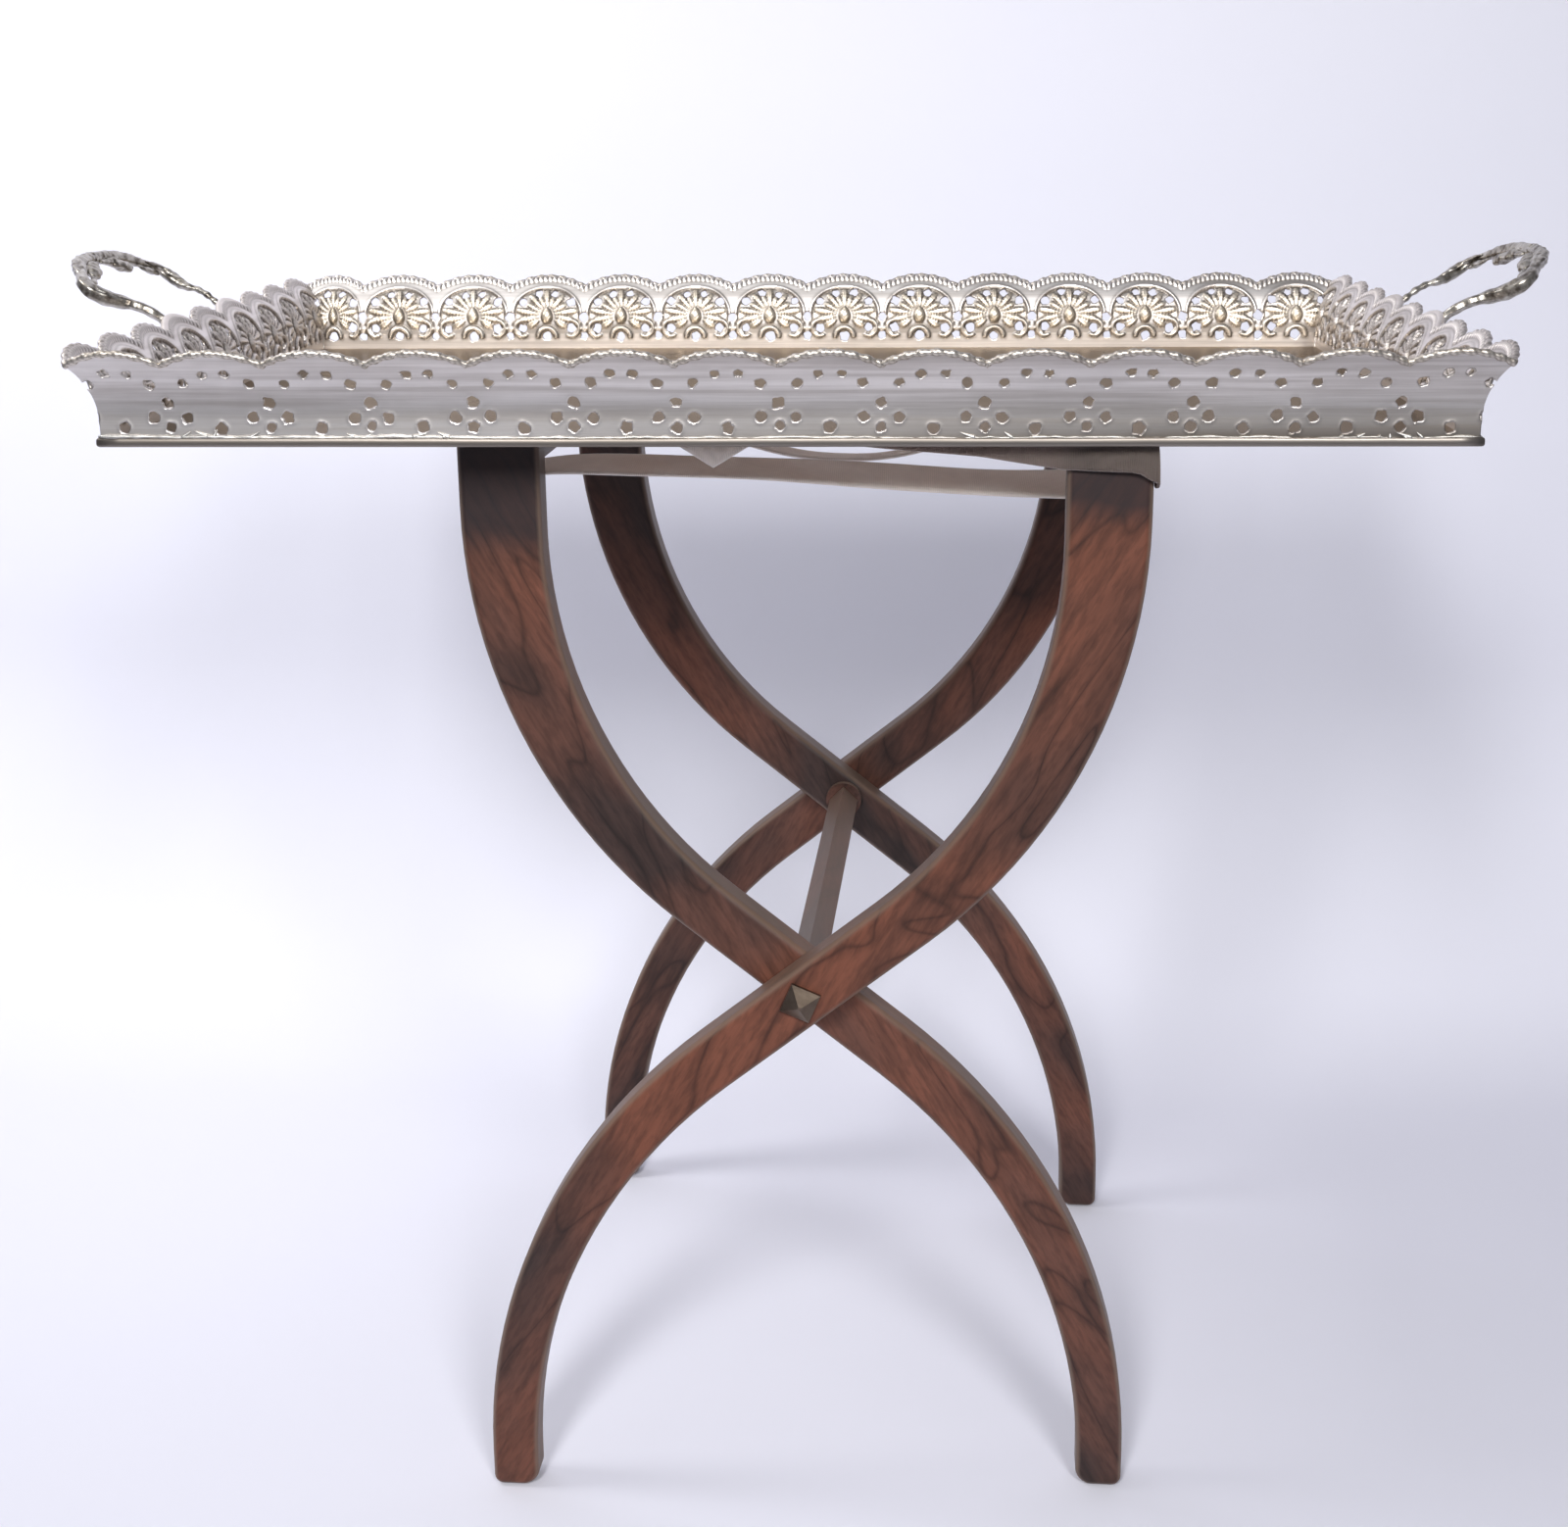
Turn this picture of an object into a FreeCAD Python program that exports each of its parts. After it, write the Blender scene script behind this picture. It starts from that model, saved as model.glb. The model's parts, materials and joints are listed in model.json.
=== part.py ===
"""Butler's tray table: a silver-plated gallery tray on a folding stand of two nested, S-curved X frames.

Frame: origin on the floor under the middle of the tray, +X to the right along the tray's long side, +Y to
the back, +Z up.  Millimetres and degrees.
"""
import FreeCAD, Part
import math
import os
import types
import Sketcher
from FreeCAD import Placement, Rotation, Vector

DIMENSIONS = {
    # tray: a gallery of equal arches, counted along its two sides
    "arch_pitch": 47.5,
    "long_arches": 14,
    "short_arches": 9,
    "sheet_thickness": 1.2,
    "rebate_depth": 0.6,
    "tray_bottom": 580.0,
    "lip_height": 4.5,
    "wall_upright": 12.0,
    "cove_radius": 40.0,
    "cove_angle": 42.0,
    "arch_rise": 6.0,
    "piercing_radius": 2.6,
    # cast loop handles
    "handle_tilt": 27.0,
    "handle_reach": 66.0,
    "handle_foot": 47.5,
    "handle_spread": 65.0,
    "handle_radius": 3.2,
    "arm_straight_share": 0.3,
    "arm_widest_share": 0.72,
    "grip_share": 0.55,
    "arm_root_bend": 24.0,
    "arm_outer_bend": 13.0,
    "grip_bend": 15.0,
    "arm_start_gap": 0.5,
    "foot_plate_length": 13.0,
    "foot_plate_height": 7.6,
    "foot_plate_thickness": 2.5,
    "foot_plate_drop": 0.2,
    "foot_plate_gap": 0.1,
    "leaf_length": 60.0,
    "leaf_width": 12.0,
    "leaf_thickness": 8.0,
    # the stand, and how the loose tray was set down on it: the stand's turn and shift under the tray
    "stand_turn": 2.4,
    "stand_shift": 13.0,
    "stand_depth": 376.0,
    "leg_thickness": 20.0,
    "leg_gap": 1.2,
    "leg_round": 4.0,
    "leg_top": 578.0,
    "leg_top_x": 149.0,
    "leg_top_width": 41.0,
    "leg_middle_width": 29.5,
    "leg_foot_x": 160.0,
    "leg_foot_width": 25.0,
    "leg_slant": 38.6,
    "upper_bend": 260.0,
    "lower_bend": 304.0,
    "toe_round": 9.0,
    "corner_round": 5.0,
    "pivot_height": 293.0,
    # rails, stretcher and pivots
    "rail_side": 22.0,
    "rail_round": 5.0,
    "tenon_radius": 6.0,
    "tenon_length": 12.0,
    "seat_gap": 0.25,
    "stretcher_side": 13.0,
    "collar_radius": 11.5,
    "collar_length": 4.0,
    "pin_radius": 4.0,
    "pin_clearance": 0.08,
    "pin_bite": 20.0,
    "washer_radius": 12.0,
    "washer_thickness": 1.0,
    "boss_side": 16.0,
    "boss_base": 2.0,
    "boss_point": 6.5,
    "boss_slope": 48.0,
    "boss_turn": 23.0,
    "boss_socket": 4.0,
    "boss_clearance": 0.2,
    # webbing straps and their tacks
    "strap_thickness": 1.6,
    "strap_clearance": 0.2,
    "strap_end": 11.0,
    "strap_lead": 1.0,
    "front_strap_width": 40.0,
    "front_strap_y": -124.0,
    "rear_strap_width": 45.0,
    "rear_strap_y": 108.0,
    "rear_strap_depth": 81.0,
    "rear_sag_radius": 189.0,
    "rear_edge_radius": 8.0,
    "top_strap_width": 57.0,
    "top_strap_left_y": -117.0,
    "top_strap_bend_x": 40.0,
    "drape_front": 12.0,
    "drape_side": 22.0,
    "drape_rise": 9.0,
    "tack_radius": 3.2,
    "tack_dome": 1.3,
    "tack_shank_radius": 0.8,
    "tack_hole_radius": 1.1,
    "tack_shank_length": 9.0,
    "tack_spacing": 24.0,
    "tack_end_share": 0.7,
    "tack_drape_share": 0.6,
    "tack_gap": 0.05,
}

# the piercings of one arch: offset from its middle in pitches, height as a share of the wall
PAIRED_PIERCINGS = [(0.11, 0.75), (0.33, 0.64), (0.32, 0.31)]
ARCH_PIERCINGS = [(side * offset, height) for offset, height in PAIRED_PIERCINGS for side in (-1, 1)]
ARCH_PIERCINGS += [(0, 0.2)]
CUSP_PIERCINGS = [0.46, 0.2]


class Size:
    """A dimension that carries both its number and its formula over the sheet."""

    def __init__(self, number, formula):
        self.number = number
        self.formula = formula

    def __add__(self, other):
        other = as_size(other)
        return Size(self.number + other.number, f"({self.formula} + {other.formula})")

    def __sub__(self, other):
        other = as_size(other)
        return Size(self.number - other.number, f"({self.formula} - {other.formula})")

    def __mul__(self, other):
        other = as_size(other)
        return Size(self.number * other.number, f"({self.formula} * {other.formula})")

    def __truediv__(self, other):
        other = as_size(other)
        return Size(self.number / other.number, f"({self.formula} / {other.formula})")

    def __neg__(self):
        return Size(-self.number, f"(-{self.formula})")


def as_size(value):
    return value if isinstance(value, Size) else Size(value, str(value))


def sine(angle):
    return Size(math.sin(math.radians(angle.number)), f"sin({angle.formula} * 1 deg)")


def cosine(angle):
    return Size(math.cos(math.radians(angle.number)), f"cos({angle.formula} * 1 deg)")


doc = FreeCAD.newDocument("ButlersTrayTable")
sheet = doc.addObject("Spreadsheet::Sheet", "Sizes")
for row, (alias, value) in enumerate(DIMENSIONS.items(), start=1):
    sheet.set(f"A{row}", alias)
    sheet.set(f"B{row}", str(value))
    sheet.setAlias(f"B{row}", alias)
doc.recompute()
d = types.SimpleNamespace(**{alias: Size(float(sheet.get(alias)), "Sizes." + alias) for alias in DIMENSIONS})

# sizes that follow from the driving ones
outer_face = d.stand_depth / 2
outer_inside = outer_face - d.leg_thickness
inner_face = outer_inside - d.leg_gap
inner_inside = inner_face - d.leg_thickness
rail_middle = d.leg_top - d.rail_side / 2
cusp_flare = d.cove_radius * (as_size(1) - cosine(d.cove_angle))
cusp_height = d.wall_upright + d.cove_radius * sine(d.cove_angle)
arch_tip = d.arch_rise / cosine(d.cove_angle)
peak_flare = cusp_flare + arch_tip * sine(d.cove_angle)
peak_height = cusp_height + d.arch_rise
tray_length = d.long_arches * d.arch_pitch - cusp_flare * 2
tray_width = d.short_arches * d.arch_pitch - cusp_flare * 2
gallery_foot = d.tray_bottom + d.sheet_thickness - d.rebate_depth

sub_parts = []


def new_part(kind, label):
    """Adds a sub-part of the given type to the document."""
    part = doc.addObject(kind, label)
    part.Label = label
    sub_parts.append(part)
    return part


def bind(target, prop, value):
    """Binds a property of an object to a size."""
    target.setExpression(prop, as_size(value).formula)


def place(part, x=0, y=0, z=0, rotation=None):
    """Sets a sub-part's turn, and binds its position to sizes."""
    part.Placement = Placement(Vector(), rotation or Rotation())
    for axis, value in zip("xyz", (x, y, z)):
        bind(part, "Placement.Base." + axis, value)


def place_in_stand(part, x=0, y=0, z=0, rotation=None):
    """Places a sub-part of the stand, which is turned and shifted under the tray."""
    x, y = as_size(x), as_size(y)
    along = d.stand_shift + x * cosine(d.stand_turn) + y * sine(d.stand_turn)
    across = y * cosine(d.stand_turn) - x * sine(d.stand_turn)
    place(part, along, across, z, stand_rotation() * (rotation or Rotation()))


def stand_rotation():
    return Rotation(Vector(0, 0, 1), -d.stand_turn.number)


def stand_placement():
    return Placement(Vector(d.stand_shift.number, 0, 0), stand_rotation())


def half_turn():
    return Rotation(Vector(0, 0, 1), 180)


def new_sketch(body, name, role):
    """Sketch on one of its body's origin planes."""
    sketch = body.newObject("Sketcher::SketchObject", name)
    support = next(item for item in body.Origin.OriginFeatures if item.Role == role)
    sketch.AttachmentSupport = (support, [""])
    sketch.MapMode = "FlatFace"
    return sketch


def dimension(sketch, name, value, kind, *elements):
    """Adds a named dimension to a sketch, bound to a size."""
    value = as_size(value)
    number = math.radians(value.number) if kind == "Angle" else value.number
    sketch.addConstraint(Sketcher.Constraint(kind, *elements, number))
    sketch.renameConstraint(sketch.ConstraintCount - 1, name)
    formula = f"{value.formula} * 1 deg" if kind == "Angle" else value.formula
    sketch.setExpression("Constraints." + name, formula)


def fix_point(sketch, name, element, point, x, y):
    """Holds a point of a sketch at a bound place."""
    x, y = as_size(x), as_size(y)
    for kind, axis, value in (("DistanceX", -2, x), ("DistanceY", -1, y)):
        if value.number == 0:
            sketch.addConstraint(Sketcher.Constraint("PointOnObject", element, point, axis))
        elif value.number > 0:
            dimension(sketch, f"{name}_{kind}", value, kind, -1, 1, element, point)
        else:
            dimension(sketch, f"{name}_{kind}", -value, kind, element, point, -1, 1)


def add_circle(sketch, name, radius, x=0, y=0):
    """Circle with a bound radius and place."""
    centre = Vector(as_size(x).number, as_size(y).number, 0)
    element = sketch.addGeometry(Part.Circle(centre, Vector(0, 0, 1), radius.number))
    dimension(sketch, name + "_radius", radius, "Radius", element)
    fix_point(sketch, name, element, 3, x, y)


def add_rectangle(sketch, name, left, bottom, right, top):
    """Upright rectangle with bound sides."""
    left, bottom, right, top = (as_size(value) for value in (left, bottom, right, top))
    corners = [(left, bottom), (right, bottom), (right, top), (left, top)]
    points = [Vector(x.number, y.number, 0) for x, y in corners]
    lines = [sketch.addGeometry(Part.LineSegment(points[i], points[(i + 1) % 4])) for i in range(4)]
    for i, line in enumerate(lines):
        sketch.addConstraint(Sketcher.Constraint("Coincident", line, 2, lines[(i + 1) % 4], 1))
        sketch.addConstraint(Sketcher.Constraint("Vertical" if i % 2 else "Horizontal", line))
    fix_point(sketch, name + "_low", lines[0], 1, left, bottom)
    fix_point(sketch, name + "_high", lines[2], 1, right, top)


def bend(before, corner, after, radius):
    """Arc of a radius that rounds a corner: its first point, middle point, last point and centre."""
    to_before = (before - corner).normalize()
    to_after = (after - corner).normalize()
    half = to_before.getAngle(to_after) / 2
    setback = radius / math.tan(half)
    inward = (to_before + to_after).normalize()
    centre = corner + inward * (radius / math.sin(half))
    return corner + to_before * setback, centre - inward * radius, corner + to_after * setback, centre


def add_outline(sketch, corners, radii):
    """Closed outline of lines, with bound tangent arcs at the corners that have a radius; returns the lines.

    The corners go round anticlockwise, and line i runs from corner i to the next.
    """
    count = len(corners)
    bends = []
    for i, (corner, radius) in enumerate(zip(corners, radii)):
        around = corners[i - 1], corner, corners[(i + 1) % count]
        bends.append(bend(*around, radius.number) if radius else (corner, corner, corner, None))
    lines = []
    for i in range(count):
        lines.append(sketch.addGeometry(Part.LineSegment(bends[i][2], bends[(i + 1) % count][0])))
    for i, (first, _, last, centre) in enumerate(bends):
        before, after = lines[i - 1], lines[i]
        if centre is None:
            sketch.addConstraint(Sketcher.Constraint("Coincident", before, 2, after, 1))
            continue
        incoming = first - corners[i - 1]
        left_turn = incoming.cross(last - first).z > 0
        start, end = (first, last) if left_turn else (last, first)
        angles = [math.atan2(point.y - centre.y, point.x - centre.x) for point in (start, end)]
        if angles[1] < angles[0]:
            angles[1] += 2 * math.pi
        whole = Part.Circle(centre, Vector(0, 0, 1), radii[i].number)
        arc = sketch.addGeometry(Part.ArcOfCircle(whole, *angles))
        first_end, last_end = (1, 2) if left_turn else (2, 1)
        sketch.addConstraint(Sketcher.Constraint("Tangent", before, 2, arc, first_end))
        sketch.addConstraint(Sketcher.Constraint("Tangent", arc, last_end, after, 1))
        dimension(sketch, f"bend_{i}", radii[i], "Radius", arc)
    return lines


def extrude(body, kind, name, sketch, length, symmetric=False):
    """Pad or pocket of a sketch with a bound length; a pocket has to take something away."""
    before = body.Shape.Volume if kind == "Pocket" else 0
    feature = body.newObject("PartDesign::" + kind, name)
    feature.Profile = sketch
    feature.SideType = "Symmetric" if symmetric else "One side"
    bind(feature, "Length", length)
    doc.recompute()
    if kind == "Pocket" and body.Shape.Volume > before - 1e-3:
        raise RuntimeError(f"{body.Label}: {name} cuts nothing")
    return feature


def bore(body, name, radius, x, z, depth, at_back=None):
    """Round hole along Y, from the body's front plane or from a plane that far behind it."""
    sketch = new_sketch(body, name + "_sketch", "XZ_Plane")
    if at_back is not None:
        bind(sketch, "AttachmentOffset.Base.z", at_back)
    add_circle(sketch, name, radius, x, z)
    extrude(body, "Pocket", name, sketch, depth * 2, symmetric=True)


# Legs


def leg_outline(sketch):
    """Outline of a leg that sweeps from its top right to its bottom left, through the pivot."""
    slant = math.radians(d.leg_slant.number)
    pivot = Vector(0, d.pivot_height.number, 0)
    along = Vector(math.cos(slant), math.sin(slant), 0)
    half_middle = d.leg_middle_width.number / 2
    below = pivot + Vector(along.y, -along.x, 0) * half_middle
    above = pivot - Vector(along.y, -along.x, 0) * half_middle
    foot_left = -(d.leg_foot_x + d.leg_foot_width / 2)
    foot_right = -(d.leg_foot_x - d.leg_foot_width / 2)
    top_left = d.leg_top_x - d.leg_top_width / 2
    top_right = d.leg_top_x + d.leg_top_width / 2
    upper_offset = (d.leg_top_width + d.leg_middle_width) / 4
    lower_offset = (d.leg_foot_width + d.leg_middle_width) / 4

    def on_slant(point, x):
        return point + along * ((x.number - point.x) / along.x)

    corners = [
        Vector(foot_left.number, 0, 0),
        Vector(foot_right.number, 0, 0),
        on_slant(below, foot_right),
        on_slant(below, top_right),
        Vector(top_right.number, d.leg_top.number, 0),
        Vector(top_left.number, d.leg_top.number, 0),
        on_slant(above, top_left),
        on_slant(above, foot_left),
    ]
    radii = [
        d.corner_round,
        d.toe_round,
        d.lower_bend - lower_offset,
        d.upper_bend + upper_offset,
        d.corner_round,
        d.corner_round,
        d.upper_bend - upper_offset,
        d.lower_bend + lower_offset,
    ]
    lines = add_outline(sketch, corners, radii)
    sole, foot_inner, low_slant, top_outer, crown, top_inner, high_slant, foot_outer = lines
    for line in (sole, crown):
        sketch.addConstraint(Sketcher.Constraint("Horizontal", line))
    for line in (foot_inner, top_outer, top_inner, foot_outer):
        sketch.addConstraint(Sketcher.Constraint("Vertical", line))
    sketch.addConstraint(Sketcher.Constraint("PointOnObject", sole, 1, -1))
    sketch.addConstraint(Sketcher.Constraint("Parallel", low_slant, high_slant))
    dimension(sketch, "slant", d.leg_slant, "Angle", low_slant)
    dimension(sketch, "crown_height", d.leg_top, "DistanceY", -1, 1, crown, 1)
    dimension(sketch, "foot_inner_x", -foot_right, "DistanceX", foot_inner, 1, -1, 1)
    dimension(sketch, "foot_outer_x", -foot_left, "DistanceX", foot_outer, 1, -1, 1)
    dimension(sketch, "top_inner_x", top_left, "DistanceX", -1, 1, top_inner, 1)
    dimension(sketch, "top_outer_x", top_right, "DistanceX", -1, 1, top_outer, 1)
    pivot_point = sketch.addGeometry(Part.Point(pivot), True)
    fix_point(sketch, "pivot", pivot_point, 1, 0, d.pivot_height)
    for name, line in (("below", low_slant), ("above", high_slant)):
        dimension(sketch, name, d.leg_middle_width / 2, "Distance", pivot_point, 1, line)


def make_leg(label, pivot_radius, y, turned, rail_at_back):
    """S-curved leg with rounded edges, the pivot's bore and a blind mortise for the top rail's tenon."""
    body = new_part("PartDesign::Body", label)
    sketch = new_sketch(body, label + "_outline", "XZ_Plane")
    leg_outline(sketch)
    blank = extrude(body, "Pad", label + "_blank", sketch, d.leg_thickness)
    rim = [f"Edge{i}" for i, edge in enumerate(blank.Shape.Edges, start=1) if edge.BoundBox.YLength < 1e-6]
    softened = body.newObject("PartDesign::Fillet", label + "_rounding")
    softened.Base = (blank, rim)
    bind(softened, "Radius", d.leg_round)
    doc.recompute()
    bore(body, label + "_pivot_bore", pivot_radius, 0, d.pivot_height, d.leg_thickness * 2)
    mortise_side = d.leg_thickness if rail_at_back else None
    mortise_radius = d.tenon_radius + d.seat_gap
    bore(body, label + "_mortise", mortise_radius, d.leg_top_x, rail_middle, d.tenon_length, mortise_side)
    place_in_stand(body, y=y, rotation=half_turn() if turned else None)


running_bore = d.pin_radius + d.pin_clearance
seated_bore = d.pin_radius + d.seat_gap
make_leg("outer_leg_front", running_bore, -outer_inside, turned=False, rail_at_back=False)
make_leg("outer_leg_rear", running_bore, outer_face, turned=False, rail_at_back=True)
make_leg("inner_leg_front", seated_bore, -inner_face, turned=True, rail_at_back=True)
make_leg("inner_leg_rear", seated_bore, inner_inside, turned=True, rail_at_back=False)

# Top rails, stretcher and pivots


def make_rail(label, x, half_span):
    """Square rail with softened edges and a round tenon at both ends."""
    body = new_part("PartDesign::Body", label)
    sketch = new_sketch(body, label + "_section", "XZ_Plane")
    half = d.rail_side / 2
    add_rectangle(sketch, "section", -half, -half, half, half)
    bar = extrude(body, "Pad", label + "_bar", sketch, half_span * 2, symmetric=True)
    softened = body.newObject("PartDesign::Fillet", label + "_rounding")
    long_edges = [f"Edge{i}" for i, edge in enumerate(bar.Shape.Edges, start=1) if edge.BoundBox.YLength > 1]
    softened.Base = (bar, long_edges)
    bind(softened, "Radius", d.rail_round)
    doc.recompute()
    tenon = new_sketch(body, label + "_tenon_section", "XZ_Plane")
    add_circle(tenon, "tenon", d.tenon_radius)
    extrude(body, "Pad", label + "_tenons", tenon, (half_span + d.tenon_length) * 2, symmetric=True)
    place_in_stand(body, x=x, z=rail_middle)


make_rail("outer_top_rail", d.leg_top_x, outer_inside)
make_rail("inner_top_rail", -d.leg_top_x, inner_inside)

stretcher = new_part("PartDesign::Body", "stretcher")
stretcher_section = new_sketch(stretcher, "stretcher_section", "XZ_Plane")
stretcher_half = d.stretcher_side / 2
add_rectangle(stretcher_section, "section", -stretcher_half, -stretcher_half, stretcher_half, stretcher_half)
stretcher_end = inner_inside - d.collar_length
extrude(stretcher, "Pad", "stretcher_bar", stretcher_section, stretcher_end * 2, symmetric=True)
bore(stretcher, "stretcher_front_bore", seated_bore, 0, 0, d.pin_bite, stretcher_end)
bore(stretcher, "stretcher_rear_bore", seated_bore, 0, 0, d.pin_bite, -stretcher_end)
place_in_stand(stretcher, z=d.pivot_height, rotation=Rotation(Vector(0, 1, 0), 45))


def make_ring(label, radius, length, y):
    """Turned ring on the pivot pin, with its front face at y."""
    body = new_part("PartDesign::Body", label)
    sketch = new_sketch(body, label + "_section", "XZ_Plane")
    add_circle(sketch, "outside", radius)
    add_circle(sketch, "hole", seated_bore)
    extrude(body, "Pad", label + "_ring", sketch, length)
    place_in_stand(body, y=y + length, z=d.pivot_height)


def make_pin(label, start):
    """Iron pivot pin that runs from the stretcher through both legs into the boss."""
    pin = new_part("Part::Cylinder", label)
    bind(pin, "Radius", d.pin_radius)
    bind(pin, "Height", pin_length)
    place_in_stand(pin, y=start, z=d.pivot_height, rotation=Rotation(Vector(1, 0, 0), -90))


def make_boss(label, y, turned):
    """Square brass boss with a pyramid point, on the pin's end outside the outer leg."""
    body = new_part("PartDesign::Body", label)
    half = d.boss_side / 2
    for name, taper in (("base", None), ("point", d.boss_slope)):
        sketch = new_sketch(body, f"{label}_{name}_section", "XZ_Plane")
        add_rectangle(sketch, name, -half, -half, half, half)
        if taper:
            bind(sketch, "AttachmentOffset.Base.z", d.boss_base)
        height = d.boss_point if taper else d.boss_base
        block = extrude(body, "Pad", f"{label}_{name}", sketch, height)
        if taper:
            bind(block, "TaperAngle", -taper)
    doc.recompute()
    bore(body, label + "_socket", seated_bore, 0, 0, d.boss_socket)
    turn = Rotation(Vector(0, 1, 0), d.boss_turn.number)
    place_in_stand(body, y=y, z=d.pivot_height, rotation=half_turn() * turn if turned else turn)


boss_seat = outer_face + d.boss_clearance
pin_start = stretcher_end - d.pin_bite
pin_end = boss_seat + d.boss_socket
pin_length = pin_end - pin_start
make_ring("stretcher_collar_front", d.collar_radius, d.collar_length, -inner_inside)
make_ring("stretcher_collar_rear", d.collar_radius, d.collar_length, stretcher_end)
make_ring("pivot_washer_front", d.washer_radius, d.washer_thickness, -(inner_face + d.washer_thickness))
make_ring("pivot_washer_rear", d.washer_radius, d.washer_thickness, inner_face)
make_pin("pivot_pin_front", -pin_end)
make_pin("pivot_pin_rear", pin_start)
make_boss("pivot_boss_front", -boss_seat, turned=False)
make_boss("pivot_boss_rear", boss_seat, turned=True)

# Tray


def make_base():
    """Flat base of the tray, with a shallow rebate for the gallery's foot inside its upturned lip."""
    body = new_part("PartDesign::Body", "tray_base")
    half_length = tray_length / 2
    half_width = tray_width / 2
    sheet_edge = d.sheet_thickness

    def layer(name, height, *offsets):
        sketch = new_sketch(body, f"tray_{name}_outline", "XY_Plane")
        for i, offset in enumerate(offsets):
            x, y = half_length + offset, half_width + offset
            add_rectangle(sketch, f"{name}_{i}", -x, -y, x, y)
        extrude(body, "Pad", "tray_" + name, sketch, height)

    layer("ledge", d.sheet_thickness - d.rebate_depth, sheet_edge)
    layer("floor", d.sheet_thickness, -sheet_edge)
    layer("lip", d.lip_height, sheet_edge, as_size(0))
    place(body, z=d.tray_bottom)


def wall_profile(sketch):
    """Section of the gallery: upright at its foot, then coved outwards to the tips of the arches."""
    turn = math.radians(d.cove_angle.number)
    thickness = d.sheet_thickness.number
    knee = d.wall_upright.number + d.cove_radius.number * math.tan(turn / 2)
    rise = Vector(-math.sin(turn), math.cos(turn), 0)
    tip = Vector(-peak_flare.number, peak_height.number, 0)
    corners = [
        Vector(0, 0, 0),
        Vector(thickness, 0, 0),
        Vector(thickness, knee + thickness * math.tan(turn / 2), 0),
        tip + Vector(rise.y, -rise.x, 0) * thickness,
        tip,
        Vector(0, knee, 0),
    ]
    inner_bend = d.cove_radius + d.sheet_thickness
    lines = add_outline(sketch, corners, [None, None, inner_bend, None, None, d.cove_radius])
    foot, inside, inside_tip, edge, outside_tip, outside = lines
    sketch.addConstraint(Sketcher.Constraint("Coincident", foot, 1, -1, 1))
    sketch.addConstraint(Sketcher.Constraint("Horizontal", foot))
    sketch.addConstraint(Sketcher.Constraint("Vertical", inside))
    sketch.addConstraint(Sketcher.Constraint("Vertical", outside))
    sketch.addConstraint(Sketcher.Constraint("Parallel", inside_tip, outside_tip))
    sketch.addConstraint(Sketcher.Constraint("Perpendicular", edge, outside_tip))
    dimension(sketch, "lean", d.cove_angle + 90, "Angle", inside_tip)
    dimension(sketch, "thickness", d.sheet_thickness, "DistanceX", foot, 1, foot, 2)
    dimension(sketch, "tip_thickness", d.sheet_thickness, "Distance", edge, 2, inside_tip)
    dimension(sketch, "upright", d.wall_upright, "DistanceY", -1, 1, outside, 1)
    dimension(sketch, "tip", arch_tip, "Distance", outside_tip, 1, outside_tip, 2)


def arch_waste(sketch, middle):
    """What is cut away above one arch of the rim."""
    half = d.arch_pitch / 2
    clear = peak_height + d.arch_rise
    radius = (half * half + d.arch_rise * d.arch_rise) / (d.arch_rise * 2)
    left, right = middle - half, middle + half
    low_left, low_right = (Vector(x.number, cusp_height.number, 0) for x in (left, right))
    high_left, high_right = (Vector(x.number, clear.number, 0) for x in (left, right))
    centre = Vector(middle.number, peak_height.number - radius.number, 0)
    swing = math.asin(half.number / radius.number)
    whole = Part.Circle(centre, Vector(0, 0, 1), radius.number)
    arch = sketch.addGeometry(Part.ArcOfCircle(whole, math.pi / 2 - swing, math.pi / 2 + swing))
    right_side = sketch.addGeometry(Part.LineSegment(low_right, high_right))
    lid = sketch.addGeometry(Part.LineSegment(high_right, high_left))
    left_side = sketch.addGeometry(Part.LineSegment(high_left, low_left))
    for first, first_end, second, second_end in (
        (arch, 1, right_side, 1),
        (right_side, 2, lid, 1),
        (lid, 2, left_side, 1),
        (left_side, 2, arch, 2),
    ):
        sketch.addConstraint(Sketcher.Constraint("Coincident", first, first_end, second, second_end))
    fix_point(sketch, "cusp_right", arch, 1, right, cusp_height)
    fix_point(sketch, "cusp_left", arch, 2, left, cusp_height)
    fix_point(sketch, "lid_right", lid, 1, right, clear)
    fix_point(sketch, "lid_left", lid, 2, left, clear)
    dimension(sketch, "arch_radius", radius, "Radius", arch)


def repeat(body, name, features, count):
    """Repeats features of a gallery wall at the arch pitch."""
    pattern = body.newObject("PartDesign::LinearPattern", name)
    pattern.Originals = features
    pattern.Direction = (next(item for item in body.Origin.OriginFeatures if item.Role == "X_Axis"), [""])
    bind(pattern, "Length", (count - 1) * d.arch_pitch)
    bind(pattern, "Occurrences", count)
    body.Tip = pattern
    doc.recompute()


def mitre(sketch, name, half_length):
    """Triangles cut off the two ends of a wall along 45 degree planes."""
    reach = peak_flare * 2
    inside = d.sheet_thickness * 2
    for side in (-1, 1):
        points = [
            (half_length - inside, inside),
            (half_length + reach, -reach),
            (half_length + reach, inside),
        ]
        points = [(x * side, y) for x, y in points]
        vectors = [Vector(x.number, y.number, 0) for x, y in points]
        lines = [sketch.addGeometry(Part.LineSegment(vectors[i], vectors[(i + 1) % 3])) for i in range(3)]
        for i, line in enumerate(lines):
            sketch.addConstraint(Sketcher.Constraint("Coincident", line, 2, lines[(i + 1) % 3], 1))
        end = "right" if side > 0 else "left"
        for i, (line, (x, y)) in enumerate(zip(lines, points)):
            fix_point(sketch, f"{name}_{end}_{i}", line, 1, x, y)


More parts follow.
